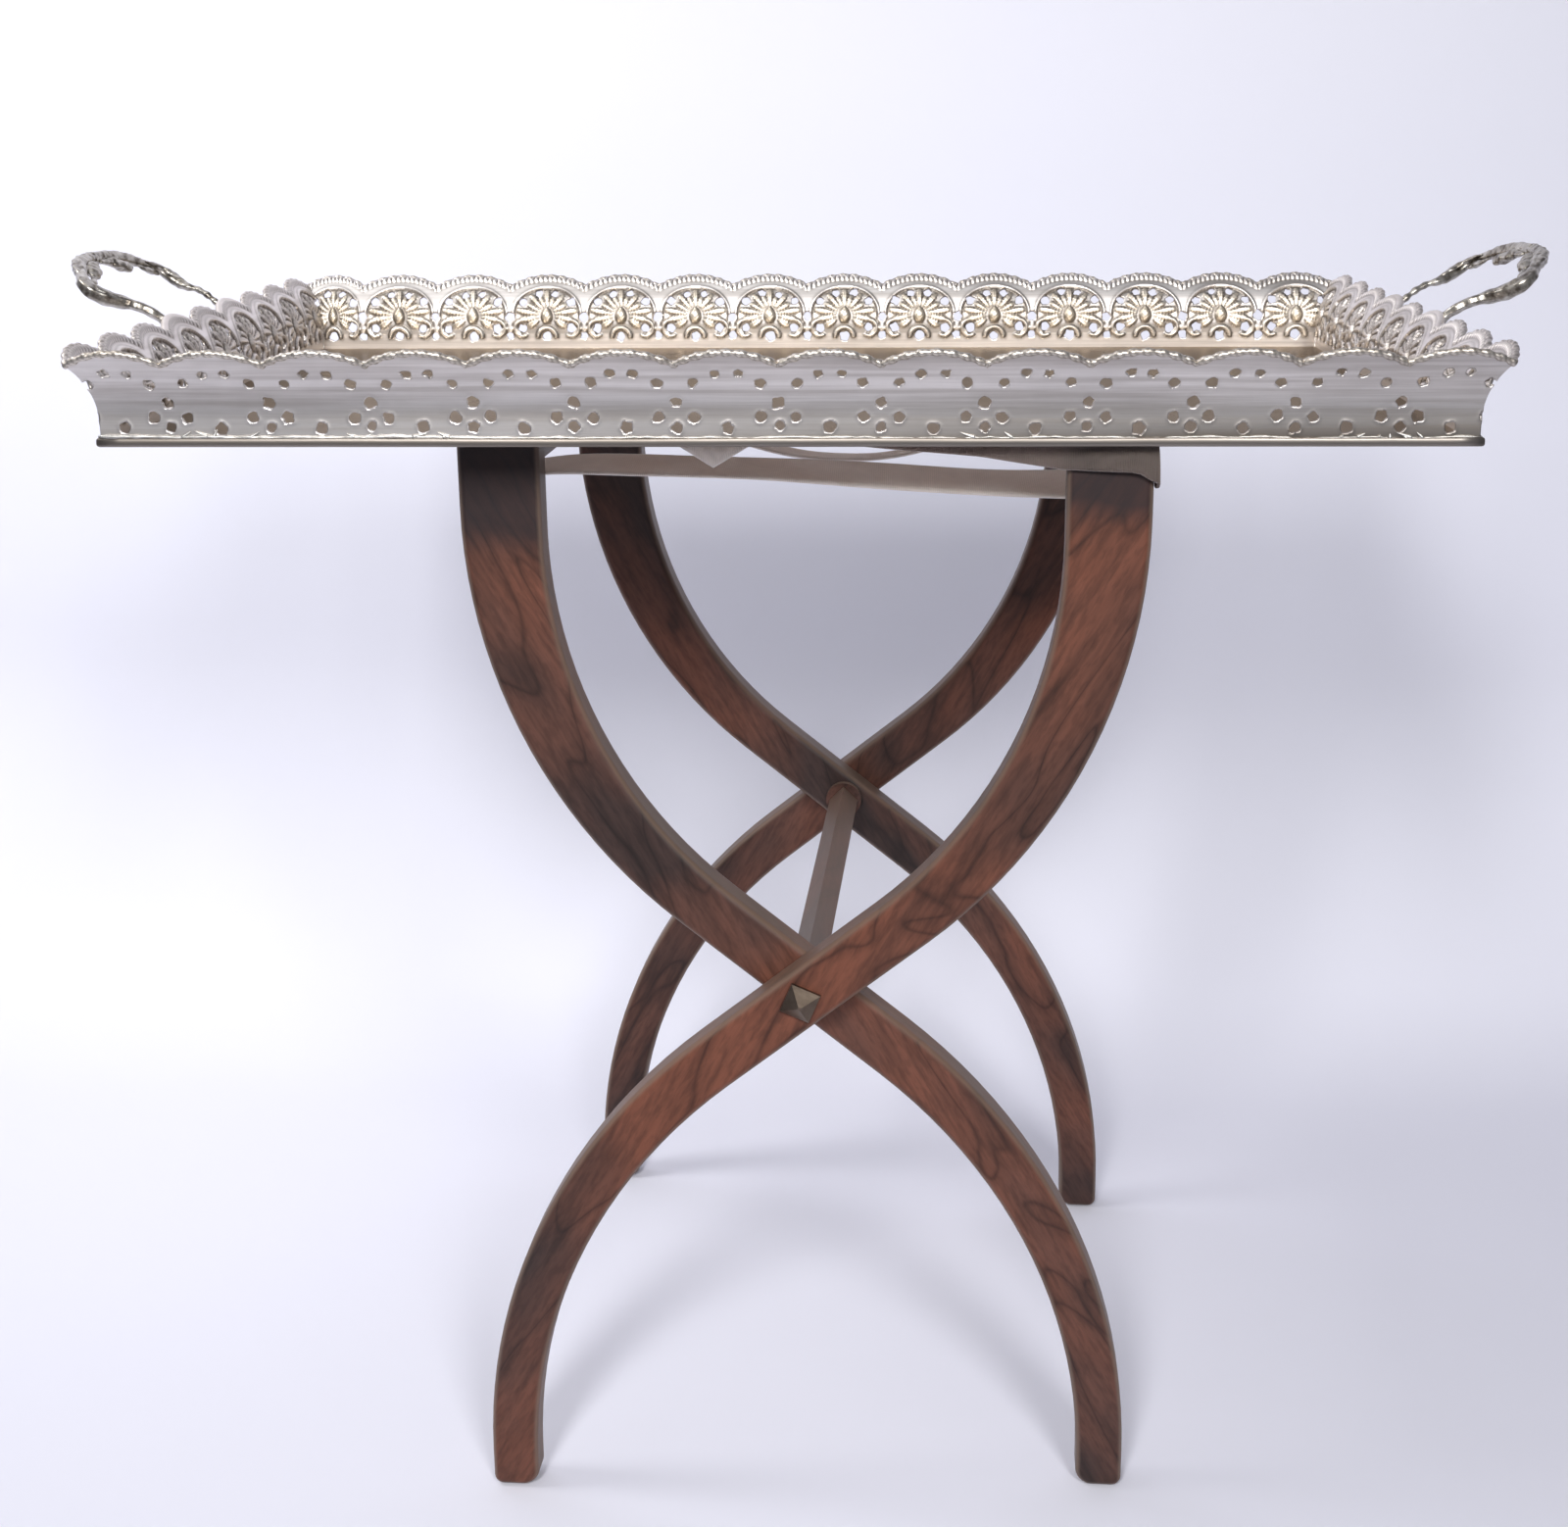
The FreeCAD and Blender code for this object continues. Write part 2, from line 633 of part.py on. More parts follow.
def make_gallery(label, count, length, x, y, turn):
    """One pierced wall of the gallery, modelled along X with its outside towards -Y."""
    body = new_part("PartDesign::Body", label)
    profile = new_sketch(body, label + "_profile", "YZ_Plane")
    wall_profile(profile)
    half_length = length / 2
    extrude(body, "Pad", label + "_wall", profile, count * d.arch_pitch, symmetric=True)
    through = peak_flare * 4
    first = (count - 1) * d.arch_pitch / -2

    waste = new_sketch(body, label + "_arch_outline", "XZ_Plane")
    arch_waste(waste, first)
    arch = extrude(body, "Pocket", label + "_arch", waste, through, symmetric=True)
    holes = new_sketch(body, label + "_piercing_outline", "XZ_Plane")
    for i, (offset, height) in enumerate(ARCH_PIERCINGS):
        x_place, z_place = first + d.arch_pitch * offset, peak_height * height
        add_circle(holes, f"piercing_{i}", d.piercing_radius, x_place, z_place)
    piercing = extrude(body, "Pocket", label + "_piercing", holes, through, symmetric=True)
    repeat(body, label + "_arches", [arch, piercing], count)
    cusp_holes = new_sketch(body, label + "_cusp_piercing_outline", "XZ_Plane")
    for i, height in enumerate(CUSP_PIERCINGS):
        add_circle(cusp_holes, f"cusp_{i}", d.piercing_radius, first + d.arch_pitch / 2, peak_height * height)
    cusp_piercing = extrude(body, "Pocket", label + "_cusp_piercing", cusp_holes, through, symmetric=True)
    repeat(body, label + "_cusps", [cusp_piercing], count - 1)

    ends = new_sketch(body, label + "_mitre_outline", "XY_Plane")
    mitre(ends, "mitre", half_length)
    extrude(body, "Pocket", label + "_mitre", ends, peak_height * 3, symmetric=True)
    place(body, x=x, y=y, z=gallery_foot, rotation=Rotation(Vector(0, 0, 1), turn))


make_base()
make_gallery("gallery_front", d.long_arches, tray_length, 0, -tray_width / 2, 0)
make_gallery("gallery_rear", d.long_arches, tray_length, 0, tray_width / 2, 180)
make_gallery("gallery_left", d.short_arches, tray_width, -tray_length / 2, 0, -90)
make_gallery("gallery_right", d.short_arches, tray_width, tray_length / 2, 0, 90)


def rounded_wire(corners, radii):
    """Open path of straight runs and tangent arcs; the radii belong to the inner corners."""
    edges = []
    start = corners[0]
    for i, radius in enumerate(radii, start=1):
        first, middle, last, _ = bend(corners[i - 1], corners[i], corners[i + 1], radius)
        edges.append(Part.LineSegment(start, first).toShape())
        edges.append(Part.Arc(first, middle, last).toShape())
        start = last
    edges.append(Part.LineSegment(start, corners[-1]).toShape())
    return Part.Wire(edges)


def make_handle(label, turned):
    """Cast loop handle: two arms that spread from plates on the gallery's outside to a leafy grip."""
    reach = d.handle_reach.number
    foot = d.handle_foot.number
    spread = d.handle_spread.number
    thickness = d.foot_plate_thickness.number
    wall_angle = d.handle_tilt.number + d.cove_angle.number
    half = [
        (thickness / math.tan(math.radians(wall_angle)) + d.arm_start_gap.number, foot),
        (d.arm_straight_share.number * reach, foot),
        (d.arm_widest_share.number * reach, spread),
        (reach, d.grip_share.number * spread),
    ]
    corners = [Vector(x, y, 0) for x, y in half] + [Vector(x, -y, 0) for x, y in reversed(half)]
    bends = [d.arm_root_bend.number, d.arm_outer_bend.number, d.grip_bend.number]
    path = rounded_wire(corners, bends + bends[::-1])
    section = Part.Wire(Part.makeCircle(d.handle_radius.number, corners[0], Vector(1, 0, 0)))
    loop = path.makePipeShell([section], True, False)
    plates = []
    for y in (foot, -foot):
        height, length = d.foot_plate_height.number, d.foot_plate_length.number
        corner = Vector(-thickness, -length / 2, -height / 2)
        plate = Part.makeBox(thickness, length, height, corner)
        plate.rotate(Vector(), Vector(0, 1, 0), wall_angle)
        plate.translate(Vector(0, y, 0))
        plates.append(plate)
    leaf = Part.makeSphere(0.5)
    stretch = FreeCAD.Matrix()
    stretch.scale(d.leaf_width.number, d.leaf_length.number, d.leaf_thickness.number)
    leaf = leaf.transformGeometry(stretch)
    leaf.translate(Vector(reach, 0, 0))
    handle = new_part("Part::Feature", label)
    handle.Shape = loop.fuse(plates + [leaf]).removeSplitter()
    turn = math.radians(d.cove_angle.number)
    down = d.foot_plate_height.number / 2 + d.foot_plate_drop.number
    out = thickness + d.foot_plate_gap.number
    side = tray_length.number / 2 + peak_flare.number - down * math.sin(turn) + out * math.cos(turn)
    height = gallery_foot.number + peak_height.number - down * math.cos(turn) - out * math.sin(turn)
    tilt = Rotation(Vector(0, 1, 0), -d.handle_tilt.number)
    rotation = half_turn() * tilt if turned else tilt
    handle.Placement = Placement(Vector(-side if turned else side, 0, height), rotation)


make_handle("handle_left", turned=True)
make_handle("handle_right", turned=False)

# Webbing

rail_edge = d.leg_top_x.number + d.rail_side.number / 2
rail_low = d.leg_top.number - d.rail_side.number
strap_offset = d.strap_thickness.number / 2 + d.strap_clearance.number
strap_skin = d.strap_thickness.number + d.strap_clearance.number
strap_x = rail_edge + strap_offset
turn_radius = d.rail_round.number + strap_offset


def strip(corners, radii, middle_y, width):
    """Strap of the set thickness whose middle follows a path in the XZ plane."""
    half = d.strap_thickness.number / 2
    sides = []
    for sign in (1, -1):
        moved = []
        for i, corner in enumerate(corners):
            runs = []
            if i > 0:
                runs.append((corner - corners[i - 1]).normalize())
            if i < len(corners) - 1:
                runs.append((corners[i + 1] - corner).normalize())
            normals = [Vector(-run.z, 0, run.x) for run in runs]
            mean = sum(normals, Vector()).normalize()
            moved.append(corner + mean * (sign * half / mean.dot(normals[0])))
        turned = []
        for i, radius in enumerate(radii, start=1):
            run_in = corners[i] - corners[i - 1]
            run_out = corners[i + 1] - corners[i]
            left_turn = run_in.x * run_out.z - run_in.z * run_out.x > 0
            turned.append(radius - sign * half if left_turn else radius + sign * half)
        sides.append(rounded_wire(moved, turned))
    ends = [
        Part.LineSegment(sides[0].Vertexes[i].Point, sides[1].Vertexes[i].Point).toShape() for i in (0, -1)
    ]
    outline = Part.Wire(Part.__sortEdges__(sides[0].Edges + sides[1].Edges + ends))
    solid = Part.Face(outline).extrude(Vector(0, width, 0))
    solid.translate(Vector(0, middle_y - width / 2, 0))
    return solid


def along_x(radius, length, x, y, z, direction):
    """Cylinder along X that starts at a point."""
    return Part.makeCylinder(radius, length, Vector(x, y, z), Vector(direction, 0, 0))


def tack(seat):
    """Dome-headed tack with its head on the strap's outside, driven towards the stand's middle."""
    x, y, z, side = seat
    radius, dome = d.tack_radius.number, d.tack_dome.number
    ball = (radius * radius + dome * dome) / (2 * dome)
    head = Part.makeSphere(ball, Vector(x - side * (ball - dome), y, z))
    head = head.common(along_x(radius, 2 * dome, x, y, z, side))
    shank = along_x(d.tack_shank_radius.number, d.tack_shank_length.number, x, y, z, -side)
    return head.fuse(shank).removeSplitter()


def make_strap(label, solid, seats):
    """Strap with a hole for each of its tacks."""
    clear = 3 * strap_skin
    for x, y, z, side in seats:
        hole = along_x(d.tack_hole_radius.number, 2 * clear, x + clear * side, y, z, -side)
        solid = solid.cut(hole)
    strap = new_part("Part::Feature", label)
    strap.Shape = solid
    strap.Placement = stand_placement()


def tack_seats(x, middle_y, z):
    """Places of a pair of tacks through a strap's end on the outside of a rail."""
    half = d.tack_spacing.number / 2
    side = 1 if x > 0 else -1
    return [(x, middle_y - half, z, side), (x, middle_y + half, z, side)]


strap_end = d.strap_end.number
tack_rise = d.tack_end_share.number * strap_end
tack_x = rail_edge + strap_skin + d.tack_gap.number
low_z = rail_low - strap_offset
high_z = d.leg_top.number + strap_offset

front_path = [
    Vector(-strap_x, 0, low_z + strap_end),
    Vector(-strap_x, 0, low_z),
    Vector(strap_x, 0, low_z),
    Vector(strap_x, 0, low_z + strap_end),
]
front_y = d.front_strap_y.number
front_tacks = {side: tack_seats(side * tack_x, front_y, low_z + tack_rise) for side in (-1, 1)}
front_strap = strip(front_path, [turn_radius] * 2, front_y, d.front_strap_width.number)
make_strap("front_strap", front_strap, front_tacks[-1] + front_tacks[1])

rail_inside = d.leg_top_x.number - d.rail_side.number / 2 + d.strap_lead.number
rear_path = [
    Vector(-strap_x, 0, high_z - strap_end),
    Vector(-strap_x, 0, high_z),
    Vector(-rail_inside, 0, high_z),
    Vector(0, 0, high_z - d.rear_strap_depth.number),
    Vector(rail_inside, 0, high_z),
    Vector(strap_x, 0, high_z),
    Vector(strap_x, 0, high_z - strap_end),
]
edge_radius = d.rear_edge_radius.number
rear_radii = [turn_radius, edge_radius, d.rear_sag_radius.number, edge_radius, turn_radius]
rear_y = d.rear_strap_y.number
rear_tacks = {side: tack_seats(side * tack_x, rear_y, high_z - tack_rise) for side in (-1, 1)}
rear_strap = strip(rear_path, rear_radii, rear_y, d.rear_strap_width.number)
make_strap("rear_strap", rear_strap, rear_tacks[-1] + rear_tacks[1])


def make_top_strap():
    """Strap that carries the tray: over both rails, draped over the front of the right-hand front leg."""
    thickness = d.strap_thickness.number
    clearance = d.strap_clearance.number
    low = d.leg_top.number + clearance
    high = low + thickness
    left = -(rail_edge + strap_skin)
    leg_side = d.leg_top_x.number + d.leg_top_width.number / 2
    right = leg_side + strap_skin
    front = -(outer_face.number + strap_skin)
    back = front + d.top_strap_width.number
    left_front = d.top_strap_left_y.number - d.top_strap_width.number / 2
    left_back = d.top_strap_left_y.number + d.top_strap_width.number / 2
    bend_x = d.top_strap_bend_x.number

    def prism(points, direction):
        return Part.Face(Part.makePolygon(points + points[:1])).extrude(direction)

    spread = [(left, left_front), (bend_x, front), (right, front), (right, back), (left, left_back)]
    sheet_part = prism([Vector(x, y, low) for x, y in spread], Vector(0, 0, thickness))
    side_low = high - d.drape_side.number
    front_low = high - d.drape_front.number
    hanging = [
        (right, high),
        (right, side_low),
        (leg_side - thickness, front_low),
        (leg_side - d.leg_top_width.number, front_low),
        (bend_x, front_low + d.drape_rise.number),
        (bend_x, high),
    ]
    front_drape = prism([Vector(x, front, z) for x, z in hanging], Vector(0, thickness, 0))
    side_corner = Vector(right - thickness, front, side_low)
    side_drape = Part.makeBox(thickness, back - front, high - side_low, side_corner)
    left_corner = Vector(left, left_front, high - strap_end)
    left_end = Part.makeBox(thickness, left_back - left_front, strap_end, left_corner)
    solid = sheet_part.fuse([front_drape, side_drape, left_end]).removeSplitter()
    left_seats = tack_seats(-tack_x, d.top_strap_left_y.number, high - tack_rise)
    leg_middle = -(outer_face.number - d.leg_thickness.number / 2)
    drape_tack_z = high - d.tack_drape_share.number * d.drape_side.number
    right_seats = [(right + d.tack_gap.number, leg_middle, drape_tack_z, 1)]
    make_strap("top_strap", solid, left_seats + right_seats)
    return {-1: left_seats, 1: right_seats}


top_tacks = make_top_strap()
for label, side in (("outer_tacks", 1), ("inner_tacks", -1)):
    tacks = new_part("Part::Feature", label)
    seats = front_tacks[side] + rear_tacks[side] + top_tacks[side]
    tacks.Shape = Part.makeCompound([tack(seat) for seat in seats])
    tacks.Placement = stand_placement()

# Check and export

doc.recompute()
failed = [item.Name for item in doc.Objects if {"Invalid", "Error"} & set(item.State)]
failed += [part.Label for part in sub_parts if part.Shape.isNull() or not part.Shape.isValid()]
if failed:
    raise RuntimeError(f"failed objects: {failed}")
os.makedirs("parts", exist_ok=True)
for part in sub_parts:
    part.Shape.exportStep(f"parts/{part.Label}.step")
    box = part.Shape.BoundBox
    print(
        f"{part.Label:24s} solids {len(part.Shape.Solids)}  volume {part.Shape.Volume / 1000:9.2f} cm3  "
        f"size {box.XLength:7.1f} {box.YLength:7.1f} {box.ZLength:7.1f} mm"
    )
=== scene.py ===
# %% [markdown]
# # A butler's tray table
# A silver-plated tray with a pierced gallery rests on webbing across a folding rosewood stand. The packed
# CAD model is the frame: the pieces made with `make_piece` move with one of its bodies, and the straps take
# the place of its strap nodes. All sizes are written in millimetres, as they were measured, and turned into
# Blender's metres when a mesh is made.

# %% Load the frame
import json
import math

import bpy
import numpy as np
from mathutils import Matrix, Vector


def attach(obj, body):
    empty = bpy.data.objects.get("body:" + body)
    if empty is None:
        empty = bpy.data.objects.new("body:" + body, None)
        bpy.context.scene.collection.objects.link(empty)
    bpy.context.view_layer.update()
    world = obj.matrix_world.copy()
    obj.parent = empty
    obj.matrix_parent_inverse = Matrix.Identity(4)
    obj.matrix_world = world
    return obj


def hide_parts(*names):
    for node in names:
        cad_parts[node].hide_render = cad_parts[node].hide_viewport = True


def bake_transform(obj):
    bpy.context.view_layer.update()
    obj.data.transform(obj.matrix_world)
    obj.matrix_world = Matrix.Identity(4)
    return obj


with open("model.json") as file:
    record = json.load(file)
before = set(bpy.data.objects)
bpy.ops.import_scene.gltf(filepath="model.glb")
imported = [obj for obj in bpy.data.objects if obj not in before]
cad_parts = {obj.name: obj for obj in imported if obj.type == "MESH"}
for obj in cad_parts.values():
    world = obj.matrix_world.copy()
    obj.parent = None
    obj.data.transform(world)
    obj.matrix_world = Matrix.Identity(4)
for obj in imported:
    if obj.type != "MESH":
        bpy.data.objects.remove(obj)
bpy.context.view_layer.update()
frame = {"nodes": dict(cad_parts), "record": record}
scene = bpy.context.scene
MM = 0.001
print("CAD nodes:", len(frame["nodes"]))

# %% [markdown]
# ## Node graphs
# A finish is a graph of shader nodes. It could be drawn in the shader editor, but then its numbers would be
# out of sight. `Graph` keeps the two moves that repeat, adding a node and joining two, so that a finish
# reads as a recipe.


# %% Node graphs
class Graph:
    """A material's node tree, with short calls for adding and joining nodes."""

    def __init__(self, name):
        self.material = bpy.data.materials.new(name)
        self.material.use_nodes = True
        self.tree = self.material.node_tree
        self.tree.nodes.clear()
        self.output = self.add("OutputMaterial")

    def add(self, kind, inputs=None, **settings):
        node = self.tree.nodes.new("ShaderNode" + kind)
        for key, value in settings.items():
            setattr(node, key, value)
        for key, value in (inputs or {}).items():
            self.feed(node, key, value)
        return node

    def feed(self, node, key, value):
        """Gives an input a number, a colour or another node's output."""
        socket = node.inputs[key]
        if isinstance(value, bpy.types.NodeSocket):
            self.tree.links.new(value, socket)
        elif isinstance(value, bpy.types.Node):
            self.tree.links.new(value.outputs[0], socket)
        elif isinstance(value, tuple) and len(value) == 3 and socket.type == "RGBA":
            socket.default_value = (*value, 1)
        else:
            socket.default_value = value

    def coordinates(self, stretch=(1, 1, 1), turn=(0, 0, 0)):
        """The piece's own coordinates, for a pattern that is turned and drawn out along its axes."""
        place = self.add("TexCoord").outputs["Object"]
        inputs = {"Vector": place, "Scale": stretch, "Rotation": turn}
        return self.add("Mapping", inputs, vector_type="TEXTURE")

    def noise(self, vector, scale, detail=4, rough=0.55, distortion=0):
        settings = {"Vector": vector, "Scale": scale, "Detail": detail}
        return self.add("TexNoise", {**settings, "Roughness": rough, "Distortion": distortion}).outputs["Fac"]

    def ramp(self, value, *stops):
        """Colour ramp through (position, colour) stops."""
        node = self.add("ValToRGB", {"Fac": value})
        bands = node.color_ramp.elements
        while len(bands) < len(stops):
            bands.new(0.5)
        for band, (position, colour) in zip(bands, stops):
            band.position = position
            band.color = (*colour, 1) if isinstance(colour, tuple) else (colour, colour, colour, 1)
        return node.outputs["Color"]

    def mix(self, factor, first, second, blend="MIX"):
        node = self.add("Mix", data_type="RGBA", blend_type=blend)
        for index, value in ((0, factor), (6, first), (7, second)):
            self.feed(node, index, value)
        return node.outputs[2]

    def maths(self, operation, first, second=0.0):
        return self.add("Math", {0: first, 1: second}, operation=operation).outputs[0]

    def attribute(self, name):
        return self.add("Attribute", attribute_name=name).outputs["Fac"]

    def bump(self, height, strength, distance, normal=None):
        inputs = {"Height": height, "Strength": strength, "Distance": distance}
        if normal:
            inputs["Normal"] = normal
        return self.add("Bump", inputs).outputs["Normal"]

    def surface(self, **inputs):
        """Principled surface; underscores in the names stand for spaces."""
        shader = self.add("BsdfPrincipled", {key.replace("_", " "): value for key, value in inputs.items()})
        self.tree.links.new(shader.outputs["BSDF"], self.output.inputs["Surface"])
        return self.material


# %% [markdown]
# ## Meshes that ride on the frame
# Pieces could be modelled by hand and parented one by one. Arrays of points and faces keep their measures
# in sight, and `make_piece` ties each mesh to the CAD body that it moves with.


# %% Meshes and pieces
def make_mesh(name, points, faces, material, smooth=True, **attributes):
    """Object from points in millimetres; the keyword arrays become vertex attributes."""
    mesh = bpy.data.meshes.new(name)
    mesh.from_pydata((np.asarray(points, float) * MM).tolist(), [], [list(face) for face in faces])
    for key, values in attributes.items():
        layer = mesh.attributes.new(key, "FLOAT", "POINT")
        layer.data.foreach_set("value", np.asarray(values, np.float32))
    mesh.polygons.foreach_set("use_smooth", [smooth] * len(mesh.polygons))
    mesh.materials.append(material)
    mesh.update()
    piece = bpy.data.objects.new(name, mesh)
    scene.collection.objects.link(piece)
    return piece


def make_piece(name, points, faces, material, body, slot, replaces=(), **options):
    """Mesh that rides on a CAD body, and stands for CAD nodes if any are named."""
    piece = make_mesh(name, points, faces, material, **options)
    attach(piece, body)
    if replaces:
        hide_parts(*replaces)
    return piece


# %% [markdown]
# ## Curves and tubes
# Handles, rope and solder are round bars that swell and taper along a curve. Blender's own curves can be
# bevelled, but that surface can't be rippled, so `tube` sweeps a ring of points along a path instead.


# %% Curves and tubes
def smooth_path(corners, count):
    """Points along a Catmull-Rom curve through the corners, evenly spaced by parameter."""
    corners = np.asarray(corners, float)
    padded = np.vstack([2 * corners[0] - corners[1], corners, 2 * corners[-1] - corners[-2]])
    t = np.linspace(0, len(corners) - 1, count)
    first = np.minimum(t.astype(int), len(corners) - 2)
    u = (t - first)[:, None]
    p0, p1, p2, p3 = (padded[first + i] for i in range(4))
    line = 2 * p1 + (p2 - p0) * u
    bend = (2 * p0 - 5 * p1 + 4 * p2 - p3) * u**2
    twist = (3 * p1 - p0 - 3 * p2 + p3) * u**3
    return (line + bend + twist) / 2


def distances(path):
    """How far along a path each of its points lies."""
    return np.concatenate([[0], np.cumsum(np.linalg.norm(np.diff(path, axis=0), axis=1))])


def tube(path, radii, sides=14, up=(0, 0, 1), flat=1.0, ripple=None):
    """Closed tube round a path; flat squeezes it along its up side, ripple(along, angle) swells it."""
    path = np.asarray(path, float)
    radii = np.broadcast_to(np.asarray(radii, float), len(path))
    tangent = np.gradient(path, axis=0)
    tangent /= np.linalg.norm(tangent, axis=1)[:, None]
    side = np.cross(tangent, np.asarray(up, float))
    side /= np.linalg.norm(side, axis=1)[:, None]
    top = np.cross(side, tangent)
    along = distances(path)
    angle = np.linspace(0, 2 * math.pi, sides, endpoint=False)
    swell = radii[:, None] * np.ones(sides)
    if ripple is not None:
        swell = swell * (1 + ripple(along[:, None], angle[None, :]))
    across = (swell * np.cos(angle))[:, :, None] * side[:, None, :]
    upward = (flat * swell * np.sin(angle))[:, :, None] * top[:, None, :]
    points = (path[:, None, :] + across + upward).reshape(-1, 3)
    rows = len(path)
    faces = []
    for i in range(rows - 1):
        for j in range(sides):
            k = (j + 1) % sides
            faces.append((i * sides + j, (i + 1) * sides + j, (i + 1) * sides + k, i * sides + k))
    faces.append(tuple(range(sides)))
    faces.append(tuple((rows - 1) * sides + j for j in range(sides - 1, -1, -1)))
    return points, faces


def limb(corners, count, **options):
    """Tube through corners of (x, y, z, radius), so that it swells and tapers on its way."""
    line = smooth_path(corners, count)
    return tube(line[:, :3], np.maximum(line[:, 3], 0.1), **options)


def joined(parts):
    """One set of points and faces from several."""
    points, faces, start = [], [], 0
    for part_points, part_faces in parts:
        points.append(part_points)
        faces += [tuple(index + start for index in face) for face in part_faces]
        start += len(part_points)
    return np.vstack(points), faces


# %% [markdown]
# ## Silver plate
# The plate is bright outside, with faint streaks from rolling. Inside, the leaves have worn to the brass
# and the hollows are dark with old polish. The same darkening paints shade in the rope's grooves and on the
# floor's lip, and a dark reflection on the outside's foot. A painted picture could show that for one mesh
# only;
# this material reads two vertex attributes that each wall works out from its own relief, `gilt` and `recess`.


# %% Silver materials
def silver_material(name, streaks, tint=(1, 1, 1), edge=(1, 1, 1), duller=0.0):
    """Plated sheet; streaks is how strongly the rolling marks show, edge its tint at a low angle."""
    graph = Graph(name)
    cloud = graph.noise(graph.coordinates(), 14, 5)
    lines = graph.noise(graph.coordinates((45, 45, 1)), 240, 6, 0.6)
    plate = graph.ramp(cloud, (0.3, (0.66, 0.625, 0.60)), (0.7, (0.80, 0.76, 0.73)))
    rolling = graph.maths("MULTIPLY", graph.ramp(lines, (0.4, 0.0), (0.62, 1.0)), streaks)
    plate = graph.mix(rolling, plate, (0.62, 0.60, 0.58), "MULTIPLY")
    brass = graph.ramp(cloud, (0.3, (0.58, 0.44, 0.22)), (0.7, (0.76, 0.62, 0.36)))
    metal = graph.mix(graph.attribute("gilt"), plate, brass)
    # old polish in creases and on the ground, plus painted shade in the rope's grooves and on the lip, and a
    # painted reflection on the outside's foot
    polish_and_shade_share = graph.maths("MULTIPLY", graph.attribute("recess"), 0.9)
    colour = graph.mix(polish_and_shade_share, metal, (0.13, 0.105, 0.08))
    colour = graph.mix(1.0, colour, tint, "MULTIPLY")
    shine = graph.ramp(lines, (0.3, 0.36 + duller), (0.75, 0.48 + duller))
    normal = graph.bump(lines, 0.12 * streaks, 0.0006)
    normal = graph.bump(graph.noise(graph.coordinates(), 60, 3), 0.15, 0.0005, normal)
    return graph.surface(Base_Color=colour, Metallic=1.0, Roughness=shine, Normal=normal, Specular_Tint=edge)


def cast_silver_material():
    """Cast silver, grey with age, and darker between its lumps."""
    graph = Graph("cast_silver")
    lumps = graph.noise(graph.coordinates(), 230, 3)
    dark, grey, bright = (0.13, 0.11, 0.09), (0.36, 0.33, 0.285), (0.54, 0.51, 0.46)
    colour = graph.ramp(lumps, (0.34, dark), (0.5, grey), (0.7, bright))
    normal = graph.bump(lumps, 0.35, 0.001)
    return graph.surface(Base_Color=colour, Metallic=1.0, Roughness=0.3, Normal=normal)


sheet_silver = silver_material("sheet_silver", 0.75)
pale_silver = silver_material("pale_silver", 0.4, (1.02, 1.0, 0.985))
floor_silver = silver_material("floor_silver", 0.5, (0.95, 0.9, 0.84), (0.28, 0.245, 0.21), -0.14)
cast_silver = cast_silver_material()
print("silver:", [silver.name for silver in (sheet_silver, pale_silver, floor_silver, cast_silver)])

# %% [markdown]
# ## Rosewood
# The stand is dark red-brown with black figure. Under the tray it is painted almost black as the tray's
# shadow, and its edges are paler, partly as wear and partly as a painted highlight. A picture of a plank
# would have to be wrapped round each curved leg; noise drawn out along its slant needs no unwrapping. Legs
# are flat to the front and back, so faces that look elsewhere are edges, painted paler as wear and as
# highlight.


